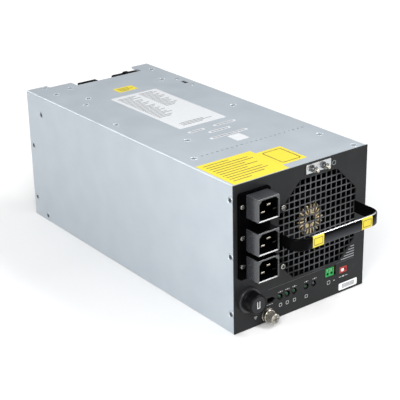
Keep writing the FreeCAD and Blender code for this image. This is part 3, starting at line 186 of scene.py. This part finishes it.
def mouldedPlastic(name, dark, light, low, high, grain=0.5, shine=0.5, relief=0.08):
    # Injection-moulded thermoplastic: even colour, fine spark-eroded grain, soft sheen.
    finish, tree, shader, place = newFinish(name, Specular_IOR_Level=shine)
    grit = addNode(tree, "TexNoise", {"Scale": perMm(grain), "Detail": 2.0}, {"Vector": place}).outputs[0]
    cloud = addNode(tree, "TexNoise", {"Scale": perMm(18), "Detail": 2.0}, {"Vector": place}).outputs[0]
    tone = addNode(tree, "ValToRGB", {"stops": [(0.3, dark), (0.7, light)]}, {"Fac": cloud}).outputs[0]
    rough = addNode(tree, "MapRange", {"To Min": low, "To Max": high}, {"Value": grit}).outputs[0]
    joinTo(tree, shader, tone, rough, grit, strength=relief, height=0.05)
    return finish


def platedMetal(name, dark, light, low, high, metal=1.0):
    # Plated metal: bright, with a little tarnish and fine turning marks.
    finish, tree, shader, place = newFinish(name, Metallic=metal)
    stain = addNode(tree, "TexNoise", {"Scale": perMm(2.5), "Detail": 4.0}, {"Vector": place}).outputs[0]
    tone = addNode(tree, "ValToRGB", {"stops": [(0.35, dark), (0.65, light)]}, {"Fac": stain}).outputs[0]
    rough = addNode(tree, "MapRange", {"To Min": low, "To Max": high}, {"Value": stain}).outputs[0]
    joinTo(tree, shader, tone, rough, stain, strength=0.04, height=0.03)
    return finish


def contactMetal():
    # Nickel-plated brass contacts: two bright blades in each inlet, the third painted dark as shade from the
    # wall of the mouth.
    finish, tree, shader, place = newFinish("nickelContacts", Metallic=1.0)
    across = addNode(tree, "SeparateXYZ", {}, {"Vector": place}).outputs["X"]
    rightBlade = {"From Min": -68.2 * mm, "From Max": -67.0 * mm}
    rightBladeShade = addNode(tree, "MapRange", rightBlade, {"Value": across}).outputs[0]
    stops = [(0.0, "#5C5850"), (1.0, "#0C0B09")]
    tone = addNode(tree, "ValToRGB", {"stops": stops}, {"Fac": rightBladeShade}).outputs[0]
    stain = addNode(tree, "TexNoise", {"Scale": perMm(2.5), "Detail": 4.0}, {"Vector": place}).outputs[0]
    rough = addNode(tree, "MapRange", {"To Min": 0.2, "To Max": 0.32}, {"Value": stain}).outputs[0]
    joinTo(tree, shader, tone, rough)
    return finish


def darkInside(name, light, dark, start, end, metal=0.0):
    # Winding, core and plastic behind the panel: lit at the front, then painted shade darkens them further in.
    finish, tree, shader, place = newFinish(name, Metallic=metal)
    depth = addNode(tree, "SeparateXYZ", {}, {"Vector": place}).outputs["Y"]
    inside = {"From Min": panelY + start * mm, "From Max": panelY + end * mm}
    paintedDepthShade = addNode(tree, "MapRange", inside, {"Value": depth}).outputs[0]
    stops = [(0.0, light), (0.35, dark), (1.0, "#050403")]
    tone = addNode(tree, "ValToRGB", {"stops": stops}, {"Fac": paintedDepthShade}).outputs[0]
    stain = addNode(tree, "TexNoise", {"Scale": perMm(2.5), "Detail": 4.0}, {"Vector": place}).outputs[0]
    rough = addNode(tree, "MapRange", {"To Min": 0.22, "To Max": 0.36}, {"Value": stain}).outputs[0]
    joinTo(tree, shader, tone, rough)
    return finish


def shadedPolyamide():
    # Polyamide of the lower two inlets: grey sides, the upper face painted black as the shade under the housing
    # above.
    finish, tree, shader, place = newFinish("shadedPolyamide", Specular_IOR_Level=0.9)
    facingUp = addNode(tree, "TexCoord", {}).outputs["Normal"]
    upward = addNode(tree, "SeparateXYZ", {}, {"Vector": facingUp}).outputs["Z"]
    stops = [(0.75, "#323336"), (0.95, "#020203")]
    tone = addNode(tree, "ValToRGB", {"stops": stops}, {"Fac": upward}).outputs[0]
    grit = addNode(tree, "TexNoise", {"Scale": perMm(0.5), "Detail": 2.0}, {"Vector": place}).outputs[0]
    rough = addNode(tree, "MapRange", {"To Min": 0.18, "To Max": 0.26}, {"Value": grit}).outputs[0]
    joinTo(tree, shader, tone, rough, grit, strength=0.02, height=0.05)
    return finish


def lampLens(name, dark, light):
    # Cast epoxy lamp lens: glossy, lets some light through, cloudy colour.
    finish, tree, shader, place = newFinish(name, IOR=1.5, Roughness=0.12, Transmission_Weight=0.25)
    cloud = addNode(tree, "TexNoise", {"Scale": perMm(3), "Detail": 1.0}, {"Vector": place}).outputs[0]
    tone = addNode(tree, "ValToRGB", {"stops": [(0.3, dark), (0.7, light)]}, {"Fac": cloud}).outputs[0]
    joinTo(tree, shader, tone)
    return finish


def boardLacquer(name, one, two, track, shine=0.5):
    # Glass-fibre board under solder lacquer: tracks show as paler lines.
    finish, tree, shader, place = newFinish(name, Specular_IOR_Level=shine)
    colors = {"Color1": hexColor(one), "Color2": hexColor(two), "Mortar": hexColor(track)}
    layout = {"Scale": perMm(60), "Mortar Size": 0.012, **colors}
    tracks = addNode(tree, "TexBrick", layout, {"Vector": place}).outputs[0]
    speck = addNode(tree, "TexNoise", {"Scale": perMm(4), "Detail": 2.0}, {"Vector": place}).outputs[0]
    rough = addNode(tree, "MapRange", {"To Min": 0.28, "To Max": 0.45}, {"Value": speck}).outputs[0]
    joinTo(tree, shader, tracks, rough)
    return finish


def extrudedAluminium():
    # Black anodised extrusion: dark satin metal with long die lines along the case.
    finish, tree, shader, place = newFinish("blackAnodised", Specular_IOR_Level=0.12)
    lines = addNode(tree, "Mapping", {"Scale": (1.0, 0.02, 1.0)}, {"Vector": place}).outputs[0]
    die = addNode(tree, "TexNoise", {"Scale": perMm(0.9), "Detail": 2.0}, {"Vector": lines}).outputs[0]
    stops = [(0.3, "#080809"), (0.7, "#0F0F11")]
    tone = addNode(tree, "ValToRGB", {"stops": stops}, {"Fac": die}).outputs[0]
    rough = addNode(tree, "MapRange", {"To Min": 0.32, "To Max": 0.5}, {"Value": die}).outputs[0]
    joinTo(tree, shader, tone, rough, die, strength=0.08, height=0.04)
    return finish


def stickerFilm(name, dark, light):
    # Printed polyester film: flat colour, faint speckle of the ink, slight waves from the sheet under it.
    finish, tree, shader, place = newFinish(name, Specular_IOR_Level=0.25)
    speck = addNode(tree, "TexNoise", {"Scale": perMm(1.2), "Detail": 2.0}, {"Vector": place}).outputs[0]
    wave = addNode(tree, "TexNoise", {"Scale": perMm(25), "Detail": 1.0}, {"Vector": place}).outputs[0]
    tone = addNode(tree, "ValToRGB", {"stops": [(0.3, dark), (0.7, light)]}, {"Fac": speck}).outputs[0]
    rough = addNode(tree, "MapRange", {"To Min": 0.34, "To Max": 0.5}, {"Value": speck}).outputs[0]
    joinTo(tree, shader, tone, rough, wave, strength=0.05, height=0.2)
    return finish


handleLow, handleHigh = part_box("handle")
barDepth = 4 * mm                                 # the legs of the handle begin behind its bar
finishes = {
    "galvanised_sheet": galvanisedSheet(),
    "panel_paint": powderCoat(),
    "handle_paint": enamelWithPaintedLight(handleLow.z, handleHigh.z, handleLow.y + barDepth),
    "black_plastic": mouldedPlastic("blackNylon", "#040405", "#070708", 0.3, 0.42, shine=0.06),
    "inlet_plastic": mouldedPlastic("darkGreyPolyamide", "#2F3033", "#353639", 0.18, 0.26,
                                    shine=0.9, relief=0.02),
    "grey_plastic": mouldedPlastic("greyNylon", "#1B1C1E", "#222325", 0.36, 0.5, shine=0.24),
    "plated_steel": platedMetal("zincPlate", "#ABA69B", "#CDC8BC", 0.2, 0.3),
    "zinc_flake": platedMetal("zincFlake", "#B4BABE", "#CBD0D3", 0.32, 0.44, metal=0.8),
    "black_oxide": platedMetal("blackOxide", "#0C0C0D", "#151516", 0.3, 0.45, metal=0.6),
    "tinned_plate": platedMetal("tinPlate", "#BFC1C3", "#D2D4D5", 0.25, 0.4),
    "plated_brass": platedMetal("nickelBrass", "#C9BE9C", "#E2DAC0", 0.18, 0.3),
    "copper": platedMetal("enamelledCopper", "#E0C493", "#F8EACB", 0.24, 0.38, metal=0.5),
    "green_lens": lampLens("greenEpoxy", "#06301A", "#0F5A2C"),
    "clear_lens": lampLens("clearEpoxy", "#1C2126", "#3C444C"),
    "green_plastic": darkInside("greenPolyamide", "#2A9C50", "#124A26", 1.0, 2.0),
    "red_plastic": mouldedPlastic("redPolyester", "#941A1A", "#AC2420", 0.28, 0.4),
    "white_plastic": mouldedPlastic("whiteAcetal", "#E6E5DF", "#F2F1EC", 0.35, 0.48),
    "circuit_board": boardLacquer("greenLacquer", "#0F4A2A", "#0C4024", "#2C7A4A"),
    "dark_board": boardLacquer("blackLacquer", "#080909", "#060707", "#101211", shine=0.15),
    "black_aluminium": extrudedAluminium(),
    "ferrite": mouldedPlastic("ferriteCeramic", "#1D1D20", "#2B2B2E", 0.5, 0.65, grain=0.8),
    "powdered_iron": darkInside("ironWithPaintedShade", "#6E5836", "#3A2E1A", 22.5, 26.0),
    "capacitor_sleeve": mouldedPlastic("shrinkSleeve", "#14182A", "#1D2238", 0.25, 0.35),
}
yellowFilm = stickerFilm("yellowFilm", "#D2BF3C", "#DCC940")
whiteFilm = stickerFilm("whiteFilm", "#EDEEEE", "#F7F8F8")
# painted shade: the labels on the top take a greyer copy of the white film, darker than the front label
whiteFilmPaintedShade = stickerFilm("whiteFilmPaintedShade", "#C4C6C9", "#CFD1D3")
darkInk = stickerFilm("darkInk", "#3A3A36", "#4C4C46")
paleInk = stickerFilm("paleInk", "#B9BBBA", "#CDCFCE")
softInk = stickerFilm("softInk", "#86888A", "#989A9C")
greyInk = stickerFilm("greyInk", "#5A5C5F", "#6A6C6F")
faintInk = stickerFilm("faintInk", "#4A4B4D", "#5A5B5D")
blackShadePlastic = mouldedPlastic("blackShadeLiner", "#020203", "#040405", 0.5, 0.65, shine=0.04)

for entry in frame["record"]["subparts"]:
    node = frame["nodes"][entry["node"]]
    node.data.materials.clear()
    node.data.materials.append(finishes[entry["material_slot"]])
nodeFinishes = {                                  # nodes that differ from the rest of their kind
    "inlet_blades": contactMetal(),
    "ac_inlet_middle": shadedPolyamide(),
    "ac_inlet_bottom": shadedPolyamide(),
    "choke_winding": darkInside("copperWithPaintedShade", "#F6E2B8", "#8A7048", 22.5, 26.0, metal=0.6),
    # painted shade: the indicator board takes the black lacquer, so what shows of it stays dark
    "indicator_board": finishes["dark_board"],
    "ground_nuts": platedMetal("greyNickel", "#5A5C5E", "#77797B", 0.2, 0.3),
    "inlet_plate": mouldedPlastic("mattNylon", "#020203", "#040405", 0.5, 0.6, shine=0.01),
    "inlet_screws": platedMetal("dullNickel", "#6A6A67", "#8A8985", 0.16, 0.24),
    "panel_screws": platedMetal("greyZinc", "#85847F", "#AAA9A3", 0.16, 0.24),
    # painted shade: the side screws are darkened as the shade in their recesses
    "side_screws": platedMetal("zincWithPaintedShade", "#62666A", "#7C8084", 0.3, 0.4),
    "captive_screw": platedMetal("satinNickel", "#8C8980", "#A6A399", 0.3, 0.4, metal=0.65),
    "switch_knob": mouldedPlastic("blackPhenolic", "#09090A", "#0E0E0F", 0.3, 0.42, shine=0.1),
    "switch_bezel": mouldedPlastic("satinPhenolic", "#242426", "#2E2E30", 0.3, 0.42, shine=0.4),
}
for name, finish in nodeFinishes.items():
    frame["nodes"][name].data.materials[0] = finish
print("finishes on every node")


# Flat pieces: blanks are cut from a plane, pulled up to their thickness and laid on their face

facing = {"top": Matrix.Identity(4), "front": Matrix.Rotation(math.pi / 2, 4, "X"),
          "wall": Matrix.Rotation(-math.pi / 2, 4, "Y")}
outward = {"top": Vector((0, 0, 1)), "front": Vector((0, 1, 0)), "wall": Vector((1, 0, 0))}
filmThick, inkThick, paintThick = 0.12, 0.04, 0.05   # millimetres: films, print on films, print on the panel
snap = 0.01 * mm                                  # how close a vertex lies to the line it is picked by


def pick(piece, test):                            # in edit mode, select the vertices at a place
    shape = bmesh.from_edit_mesh(piece.data)
    for vertex in shape.verts:
        vertex.select_set(test(vertex.co))
    shape.select_flush_mode()
    bmesh.update_edit_mesh(piece.data)


def emptyPiece(name):                             # new piece in edit mode with nothing in it
    bpy.ops.object.select_all(action="DESELECT")
    bpy.ops.mesh.primitive_plane_add(size=1.0)
    piece = bpy.context.object
    piece.name = name
    bpy.ops.object.mode_set(mode="EDIT")
    bpy.ops.mesh.select_all(action="SELECT")
    bpy.ops.mesh.delete(type="VERT")
    return piece


def addField(left, low, right, high):             # flat rectangle in millimetres, left selected
    bpy.ops.mesh.select_all(action="DESELECT")
    bpy.ops.mesh.primitive_plane_add(size=1.0)
    bpy.ops.transform.resize(value=((right - left) * mm, (high - low) * mm, 1.0))
    bpy.ops.transform.translate(value=((left + right) / 2 * mm, (low + high) / 2 * mm, 0.0))


def pullUp(depth):                                # all that is drawn so far, by millimetres
    bpy.ops.mesh.select_all(action="SELECT")
    bpy.ops.mesh.extrude_region_move(TRANSFORM_OT_translate={"value": (0, 0, depth * mm)})


def closeShape():                                 # faces outwards, then out of edit mode
    bpy.ops.mesh.select_all(action="SELECT")
    bpy.ops.mesh.normals_make_consistent(inside=False)
    bpy.ops.object.mode_set(mode="OBJECT")


def layDown(piece, side, base, finish, body="chassis", slot="white_plastic"):
    piece.matrix_world = Matrix.Translation(base * outward[side]) @ facing[side] @ piece.matrix_world
    bpy.ops.object.select_all(action="DESELECT")
    piece.select_set(True)
    bpy.context.view_layer.objects.active = piece
    bpy.ops.object.transform_apply(location=True, rotation=True, scale=True)
    piece.data.materials.append(finish)
    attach(piece, body)


def filmPiece(name, side, fields, base, thick, finish, corner=0.0, line=0.0, **ride):
    piece = emptyPiece(name)
    for field in fields:
        addField(*field)
        if corner:
            bpy.ops.mesh.bevel(offset=corner * mm, segments=5, affect="VERTICES")
        if line:                                  # keep only a line round the edge
            bpy.ops.mesh.inset(thickness=line * mm)
            bpy.ops.mesh.delete(type="FACE")
    pullUp(thick)
    closeShape()
    layDown(piece, side, base, finish, **ride)


def fromFront(left, near, right, far):            # top face: distances behind the panel to row millimetres
    return (left, near + panelY / mm, right, far + panelY / mm)


topLabels = {
    "topWhiteLabel": [fromFront(-36, 192, 39, 352)],
    "topStrips": [fromFront(-36, 171.6, -11, 176.6), fromFront(4.6, 172.6, 39.7, 177.6),
                  fromFront(-15.6, 156, 18.2, 161.2), fromFront(-28.6, 136.6, 30.2, 141.6),
                  fromFront(-7, 112, 12, 133)],
}
for name, fields in topLabels.items():
    filmPiece(name, "top", fields, topZ, filmThick, whiteFilmPaintedShade, corner=1.2)
yellowLabels = {
    "topYellowLabel": [fromFront(-100, 3, -18.8, 74.5), fromFront(-18.6, 15.5, 19.5, 64)],
    "topYellowTag": [fromFront(-9, 369, 21.5, 387.5)],
}
for name, fields in yellowLabels.items():
    filmPiece(name, "top", fields, topZ, filmThick, yellowFilm, corner=0.8)
print("labels on the top")

# Stickers on the bar of the handle, wrapped over both rounded edges of the strap
handleStickers = {
    "spans": [(-24.6, -7.6), (53.6, 70.2)],
    "low": handleLow.z / mm + 2.2, "high": handleHigh.z / mm - 2.2,
    "wrap": [(0.8, 0.15), (1.4, 0.5), (1.85, 1.0)],   # past the flat, and how far the face falls back
}


def wrappedStickers(name, stickers, base, thick, finish):
    piece = emptyPiece(name)
    for left, right in stickers["spans"]:
        addField(left, stickers["low"], right, stickers["high"])
        for sign, edge in ((1, stickers["high"]), (-1, stickers["low"])):
            pick(piece, lambda co: abs(co.y - edge * mm) < snap and left - 1 < co.x / mm < right + 1)
            past, back = 0.0, 0.0
            for ahead, fall in stickers["wrap"]:
                step = (0, sign * (ahead - past) * mm, (back - fall) * mm)
                bpy.ops.mesh.extrude_region_move(TRANSFORM_OT_translate={"value": step})
                past, back = ahead, fall
    pullUp(thick)
    closeShape()
    layDown(piece, "front", base, finish)


wrappedStickers("handleStickers", handleStickers, handleLow.y, filmThick, yellowFilm)

# Black liners in the mouths of the inlets, and a black sheet on the wall behind the grille: painted shade, dark
# pieces where the inside lies in shade
mouth = {"x": -72.8, "heights": (160.3, 119.0, 85.2), "half": (14.0, 12.4), "cut": 4.2,
         "floor": 5.7, "deep": 17.5, "wall": 0.25}


# painted shade: black liners darken the mouths of the inlets
def mouthShadeLiners(name, finish):
    piece = emptyPiece(name)
    wide, tall = mouth["half"]
    for z in mouth["heights"]:
        addField(mouth["x"] - wide, z - tall, mouth["x"] + wide, z + tall)
        pick(piece, lambda co: abs(co.y - (z + tall) * mm) < snap)
        bpy.ops.mesh.bevel(offset=mouth["cut"] * mm, segments=1, affect="VERTICES")
    pullUp(mouth["deep"])
    bpy.ops.mesh.delete(type="ONLY_FACE")         # open towards the front
    closeShape()
    shell = piece.modifiers.new("wall", "SOLIDIFY")
    shell.thickness = mouth["wall"] * mm
    shell.offset = -1.0
    bpy.ops.object.modifier_apply(modifier=shell.name)
    layDown(piece, "front", panelY - mouth["floor"] * mm, finish, slot="black_plastic")


mouthShadeLiners("inletShadeLiners", blackShadePlastic)
# painted shade: the black sheet darkens what shows of the inside through the grille
sheet = {"fields": [(15.5, -215.8, 183.5, -128.0)],   # height and depth on the right wall
         "wall": 102.2, "thick": 0.4, "corner": 2.0}
filmPiece("blackShadeSheet", "wall", sheet["fields"], sheet["wall"] * mm, sheet["thick"], blackShadePlastic,
          corner=sheet["corner"], slot="black_plastic")

frontLabel = {"fields": [(62.5, 3.1, 93.6, 12.5)], "thick": 0.15, "corner": 1.6}
filmPiece("frontWhiteLabel", "front", frontLabel["fields"], panelY, frontLabel["thick"], whiteFilm,
          corner=frontLabel["corner"])

# Plain printed rows and borders, drawn as thin ink on the films and on the panel
filmTop = topZ + filmThick * mm
rowHalf = 0.7                                     # half the height of a printed row


def rows(left, right, first, pitch, shares):      # printed rows of uneven length, starting at the left edge
    return [(left, first - pitch * i - rowHalf, left + (right - left) * share, first - pitch * i + rowHalf)
            for i, share in enumerate(shares)]


labelRows = {
    "left": rows(-31, 2, 110, 4.6, [0.9, 0.7, 0.95, 0.5, 0.85, 0.8, 0.6, 0.9, 0.75, 0.55, 0.9,
                                    0.8, 0.65, 0.85, 0.7, 0.9, 0.6, 0.8, 0.95, 0.5, 0.75, 0.6]),
    "right": rows(6, 34, 113, 4.6, [0.8, 0.95, 0.6, 0.9, 0.7, 0.95, 0.85, 0.5, 0.9, 0.75, 0.8,
                                    0.6, 0.9, 0.7, 0.5]),
    "foot": rows(-24, 30, -22, 4.2, [0.7, 0.9, 0.6]),
}
filmPiece("topLabelRows", "top", sum(labelRows.values(), []), filmTop, inkThick, greyInk)
stripRows = [(-33, -59, -14, -57.4), (8, -58, 36, -56.4), (-12, -74.4, 15, -72.8), (-25, -93.8, 27, -92.2)]
filmPiece("topStripRows", "top", stripRows, filmTop, inkThick, greyInk)
yellowRows = rows(-94, -26, -164, 6.2, [0.55, 0.9, 0.95, 0.7, 0.9, 0.6, 0.85, 0.9, 0.75, 0.4])
yellowRows += rows(-5, 17.5, 150, 4.6, [0.8, 1.0, 0.6])
filmPiece("topYellowRows", "top", yellowRows, filmTop, inkThick, darkInk)
yellowBorder = [fromFront(-14, 20, 15.4, 59)]
filmPiece("topYellowBorder", "top", yellowBorder, filmTop, inkThick, darkInk, corner=3.0, line=1.3)
stickerBorders = [(left + 1.6, handleStickers["low"] + 1, right - 1.6, handleStickers["high"] - 1)
                  for left, right in handleStickers["spans"]]
filmPiece("handleStickerBorders", "front", stickerBorders, handleLow.y - filmThick * mm, inkThick, darkInk,
          corner=1.0, line=0.7)
labelBars = [(68 + 1.5 * i, 4.8, 68.8 + 1.5 * i, 10.8) for i in range(14)]
filmPiece("frontLabelBars", "front", labelBars, panelY - frontLabel["thick"] * mm, inkThick, greyInk)

lampRow = (-33.4, -22.5, -11.4, 7.9, 21.2)        # middles of the marks above the lamps
panelRows = [(80.5, 58.4, 87, 59.6), (77, 54.9, 87, 56.1), (73.5, 51.4, 87, 52.6),
             (70, 47.9, 87, 49.1), (65, 44.6, 87, 45.8)]
filmPiece("panelRows", "front", panelRows, panelY, paintThick, softInk)
panelPrint = {
    "lampDots": [(x - 0.7, 33.0, x + 0.7, 34.4) for x in lampRow],
    "leftDashes": [(x - 3.2, 33.4, x - 1.7, 34.0) for x in lampRow],
    "rightDashes": [(x + 1.7, 33.4, x + 3.2, 34.0) for x in lampRow],
    "aperture": [(-55.2, 21.8, -52.6, 22.4), (-51.4, 21.8, -48.8, 22.4), (-47.6, 21.8, -45.0, 22.4)],
    "switch": [(62.5, 21.4, 66.5, 22.0), (68, 20.9, 71.5, 22.5), (73, 21.4, 77, 22.0)],
    "terminals": [(52.8, 20.2, 55.6, 20.9)],
    "knob": [(-74.4, 12.6, -69.6, 13.2), (-73.6, 11.2, -70.4, 11.8), (-72.8, 9.8, -71.2, 10.4)],
}
filmPiece("panelPrint", "front", sum(panelPrint.values(), []), panelY, paintThick, paleInk)
panelLine = [(-52, 42.1, 38, 42.5), (58, 42.1, 87, 42.5)]
filmPiece("panelLine", "front", panelLine, panelY, paintThick, faintInk)
frameMiddles = ((-33.2, 16.0), (-22.4, 15.6), (-10.9, 15.3), (8.2, 13.8))
panelFrames = [(x - 2.2, z - 2.2, x + 2.2, z + 2.2) for x, z in frameMiddles]
panelFrames.append((42.6, 17.8, 47.6, 22.8))
filmPiece("panelFrames", "front", panelFrames, panelY, paintThick, paleInk, corner=0.9, line=0.55)
earthRing = [(45.8, 175.0, 51.8, 181.0)]
filmPiece("earthRing", "front", earthRing, panelY, paintThick, softInk, corner=2.95, line=0.6)
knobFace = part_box("knob_cap")[0].y
indexMark = {"fields": [(-85.2, 35.6, -84.1, 44.4), (-81.9, 35.6, -80.8, 44.4), (-84.1, 35.6, -81.9, 36.7)],
             "thick": 0.06}
filmPiece("knobMark", "front", indexMark["fields"], knobFace, indexMark["thick"], paleInk, body="knob")
print("labels and print on the front")

# Studio
floor = {"size": 80.0, "drop": 0.4 * mm, "color": "#E0E0E0",
         "back": {"From Min": 0.0, "From Max": 1.5}, "round": {"From Min": 2.0, "From Max": 4.0},
         "glow": [(0.04, "#000000"), (0.22, "#6F6F6F"), (0.75, "#A8A8A8"), (1.0, "#B0B0B0")]}
bpy.ops.object.select_all(action="DESELECT")
bpy.ops.mesh.primitive_plane_add(size=floor["size"], location=(0, 0, -floor["drop"]))
studioFloor = bpy.context.object
studioFloor.name = "studioFloor"


def paperFloor():
    # Matt paper on the floor: grey enough to take shadows, lifted to white towards the back and far around.
    finish, tree, shader, place = newFinish("paleFloor", Roughness=0.7, Emission_Strength=1.0)
    shader.inputs["Base Color"].default_value = hexColor(floor["color"])
    depth = addNode(tree, "SeparateXYZ", {}, {"Vector": place}).outputs["Y"]
    back = addNode(tree, "MapRange", floor["back"], {"Value": depth}).outputs[0]
    reach = addNode(tree, "VectorMath", {"operation": "LENGTH"}, {0: place}).outputs["Value"]
    far = addNode(tree, "MapRange", floor["round"], {"Value": reach}).outputs[0]
    away = addNode(tree, "Math", {"operation": "MAXIMUM"}, {0: back, 1: far}).outputs[0]
    glow = addNode(tree, "ValToRGB", {"stops": floor["glow"]}, {"Fac": away}).outputs[0]
    tree.links.new(glow, shader.inputs["Emission Color"])
    return finish


studioFloor.data.materials.append(paperFloor())

sky = {"strength": 0.74,                          # dim walls, bright ceiling
       "stops": [(0.0, "#4A4A4C"), (0.25, "#6C6D70"), (0.6, "#E4E6E8"), (1.0, "#FFFFFF")]}
world = bpy.data.worlds.new("studioWorld")
bpy.context.scene.world = world
world.use_nodes = True
dome = world.node_tree
ray = addNode(dome, "TexCoord", {}).outputs["Generated"]
rise = addNode(dome, "SeparateXYZ", {}, {"Vector": ray}).outputs["Z"]
skyTone = addNode(dome, "ValToRGB", {"stops": sky["stops"]}, {"Fac": rise}).outputs[0]
dome.links.new(skyTone, dome.nodes["Background"].inputs["Color"])
dome.nodes["Background"].inputs["Strength"].default_value = sky["strength"]

studioLights = {
    "keyRight": {"place": (1.15, -1.1, 1.8), "aim": (0.0, -0.28, 0.11), "along": (0.0, 0.885, 0.466),
                 "size": (1.5, 0.42), "power": 36.5},
    "fillLeft": {"place": (-0.66, -0.72, 0.66), "aim": (-0.1, -0.25, 0.12), "along": (1, 0, 0),
                 "size": (0.6, 0.6), "power": 9.8},
    "softTop": {"place": (-0.2, 0.4, 2.1), "aim": (0.0, 0.0, 0.1), "along": (1, 0, 0),
                "size": (1.8, 1.8), "power": 4},
    "rimRear": {"place": (-1.0, 1.8, 1.45), "aim": (-0.1, 0.0, 0.19), "along": (1, 0, 0),
                "size": (0.7, 0.7), "power": 14},
}
for name, light in studioLights.items():
    lamp = bpy.data.lights.new(name, "AREA")
    lamp.shape = "RECTANGLE"
    lamp.energy = light["power"]
    lamp.size, lamp.size_y = light["size"]
    holder = bpy.data.objects.new(name, lamp)
    bpy.context.scene.collection.objects.link(holder)
    back = (Vector(light["place"]) - Vector(light["aim"])).normalized()
    side = Vector(light["along"])
    side = (side - side.dot(back) * back).normalized()
    turned = Matrix((side, back.cross(side), back)).transposed().to_4x4()
    holder.matrix_world = Matrix.Translation(light["place"]) @ turned
bpy.context.scene.view_settings.view_transform = "Standard"

# Camera at the photograph's angle
shot = {"place": (-0.8361, -1.1501, 0.6692), "azimuth": 36.763, "elevation": 22.945, "roll": 1.224,
        "lens": 103.27, "sensor": 36.0}
turn, tilt, roll = (math.radians(shot[key]) for key in ("azimuth", "elevation", "roll"))
look = Vector((math.sin(turn) * math.cos(tilt), math.cos(turn) * math.cos(tilt), -math.sin(tilt)))
right = look.cross(Vector((0, 0, 1))).normalized()
down = look.cross(right)
across = math.cos(roll) * right + math.sin(roll) * down
upright = math.sin(roll) * right - math.cos(roll) * down
camera = bpy.data.objects.new("photoCamera", bpy.data.cameras.new("photoCamera"))
camera.data.lens = shot["lens"]
camera.data.sensor_width = shot["sensor"]
bpy.context.scene.collection.objects.link(camera)
camera.matrix_world = Matrix.Translation(shot["place"]) @ Matrix((across, upright, -look)).transposed().to_4x4()
bpy.context.scene.camera = camera
print("studio and camera set")
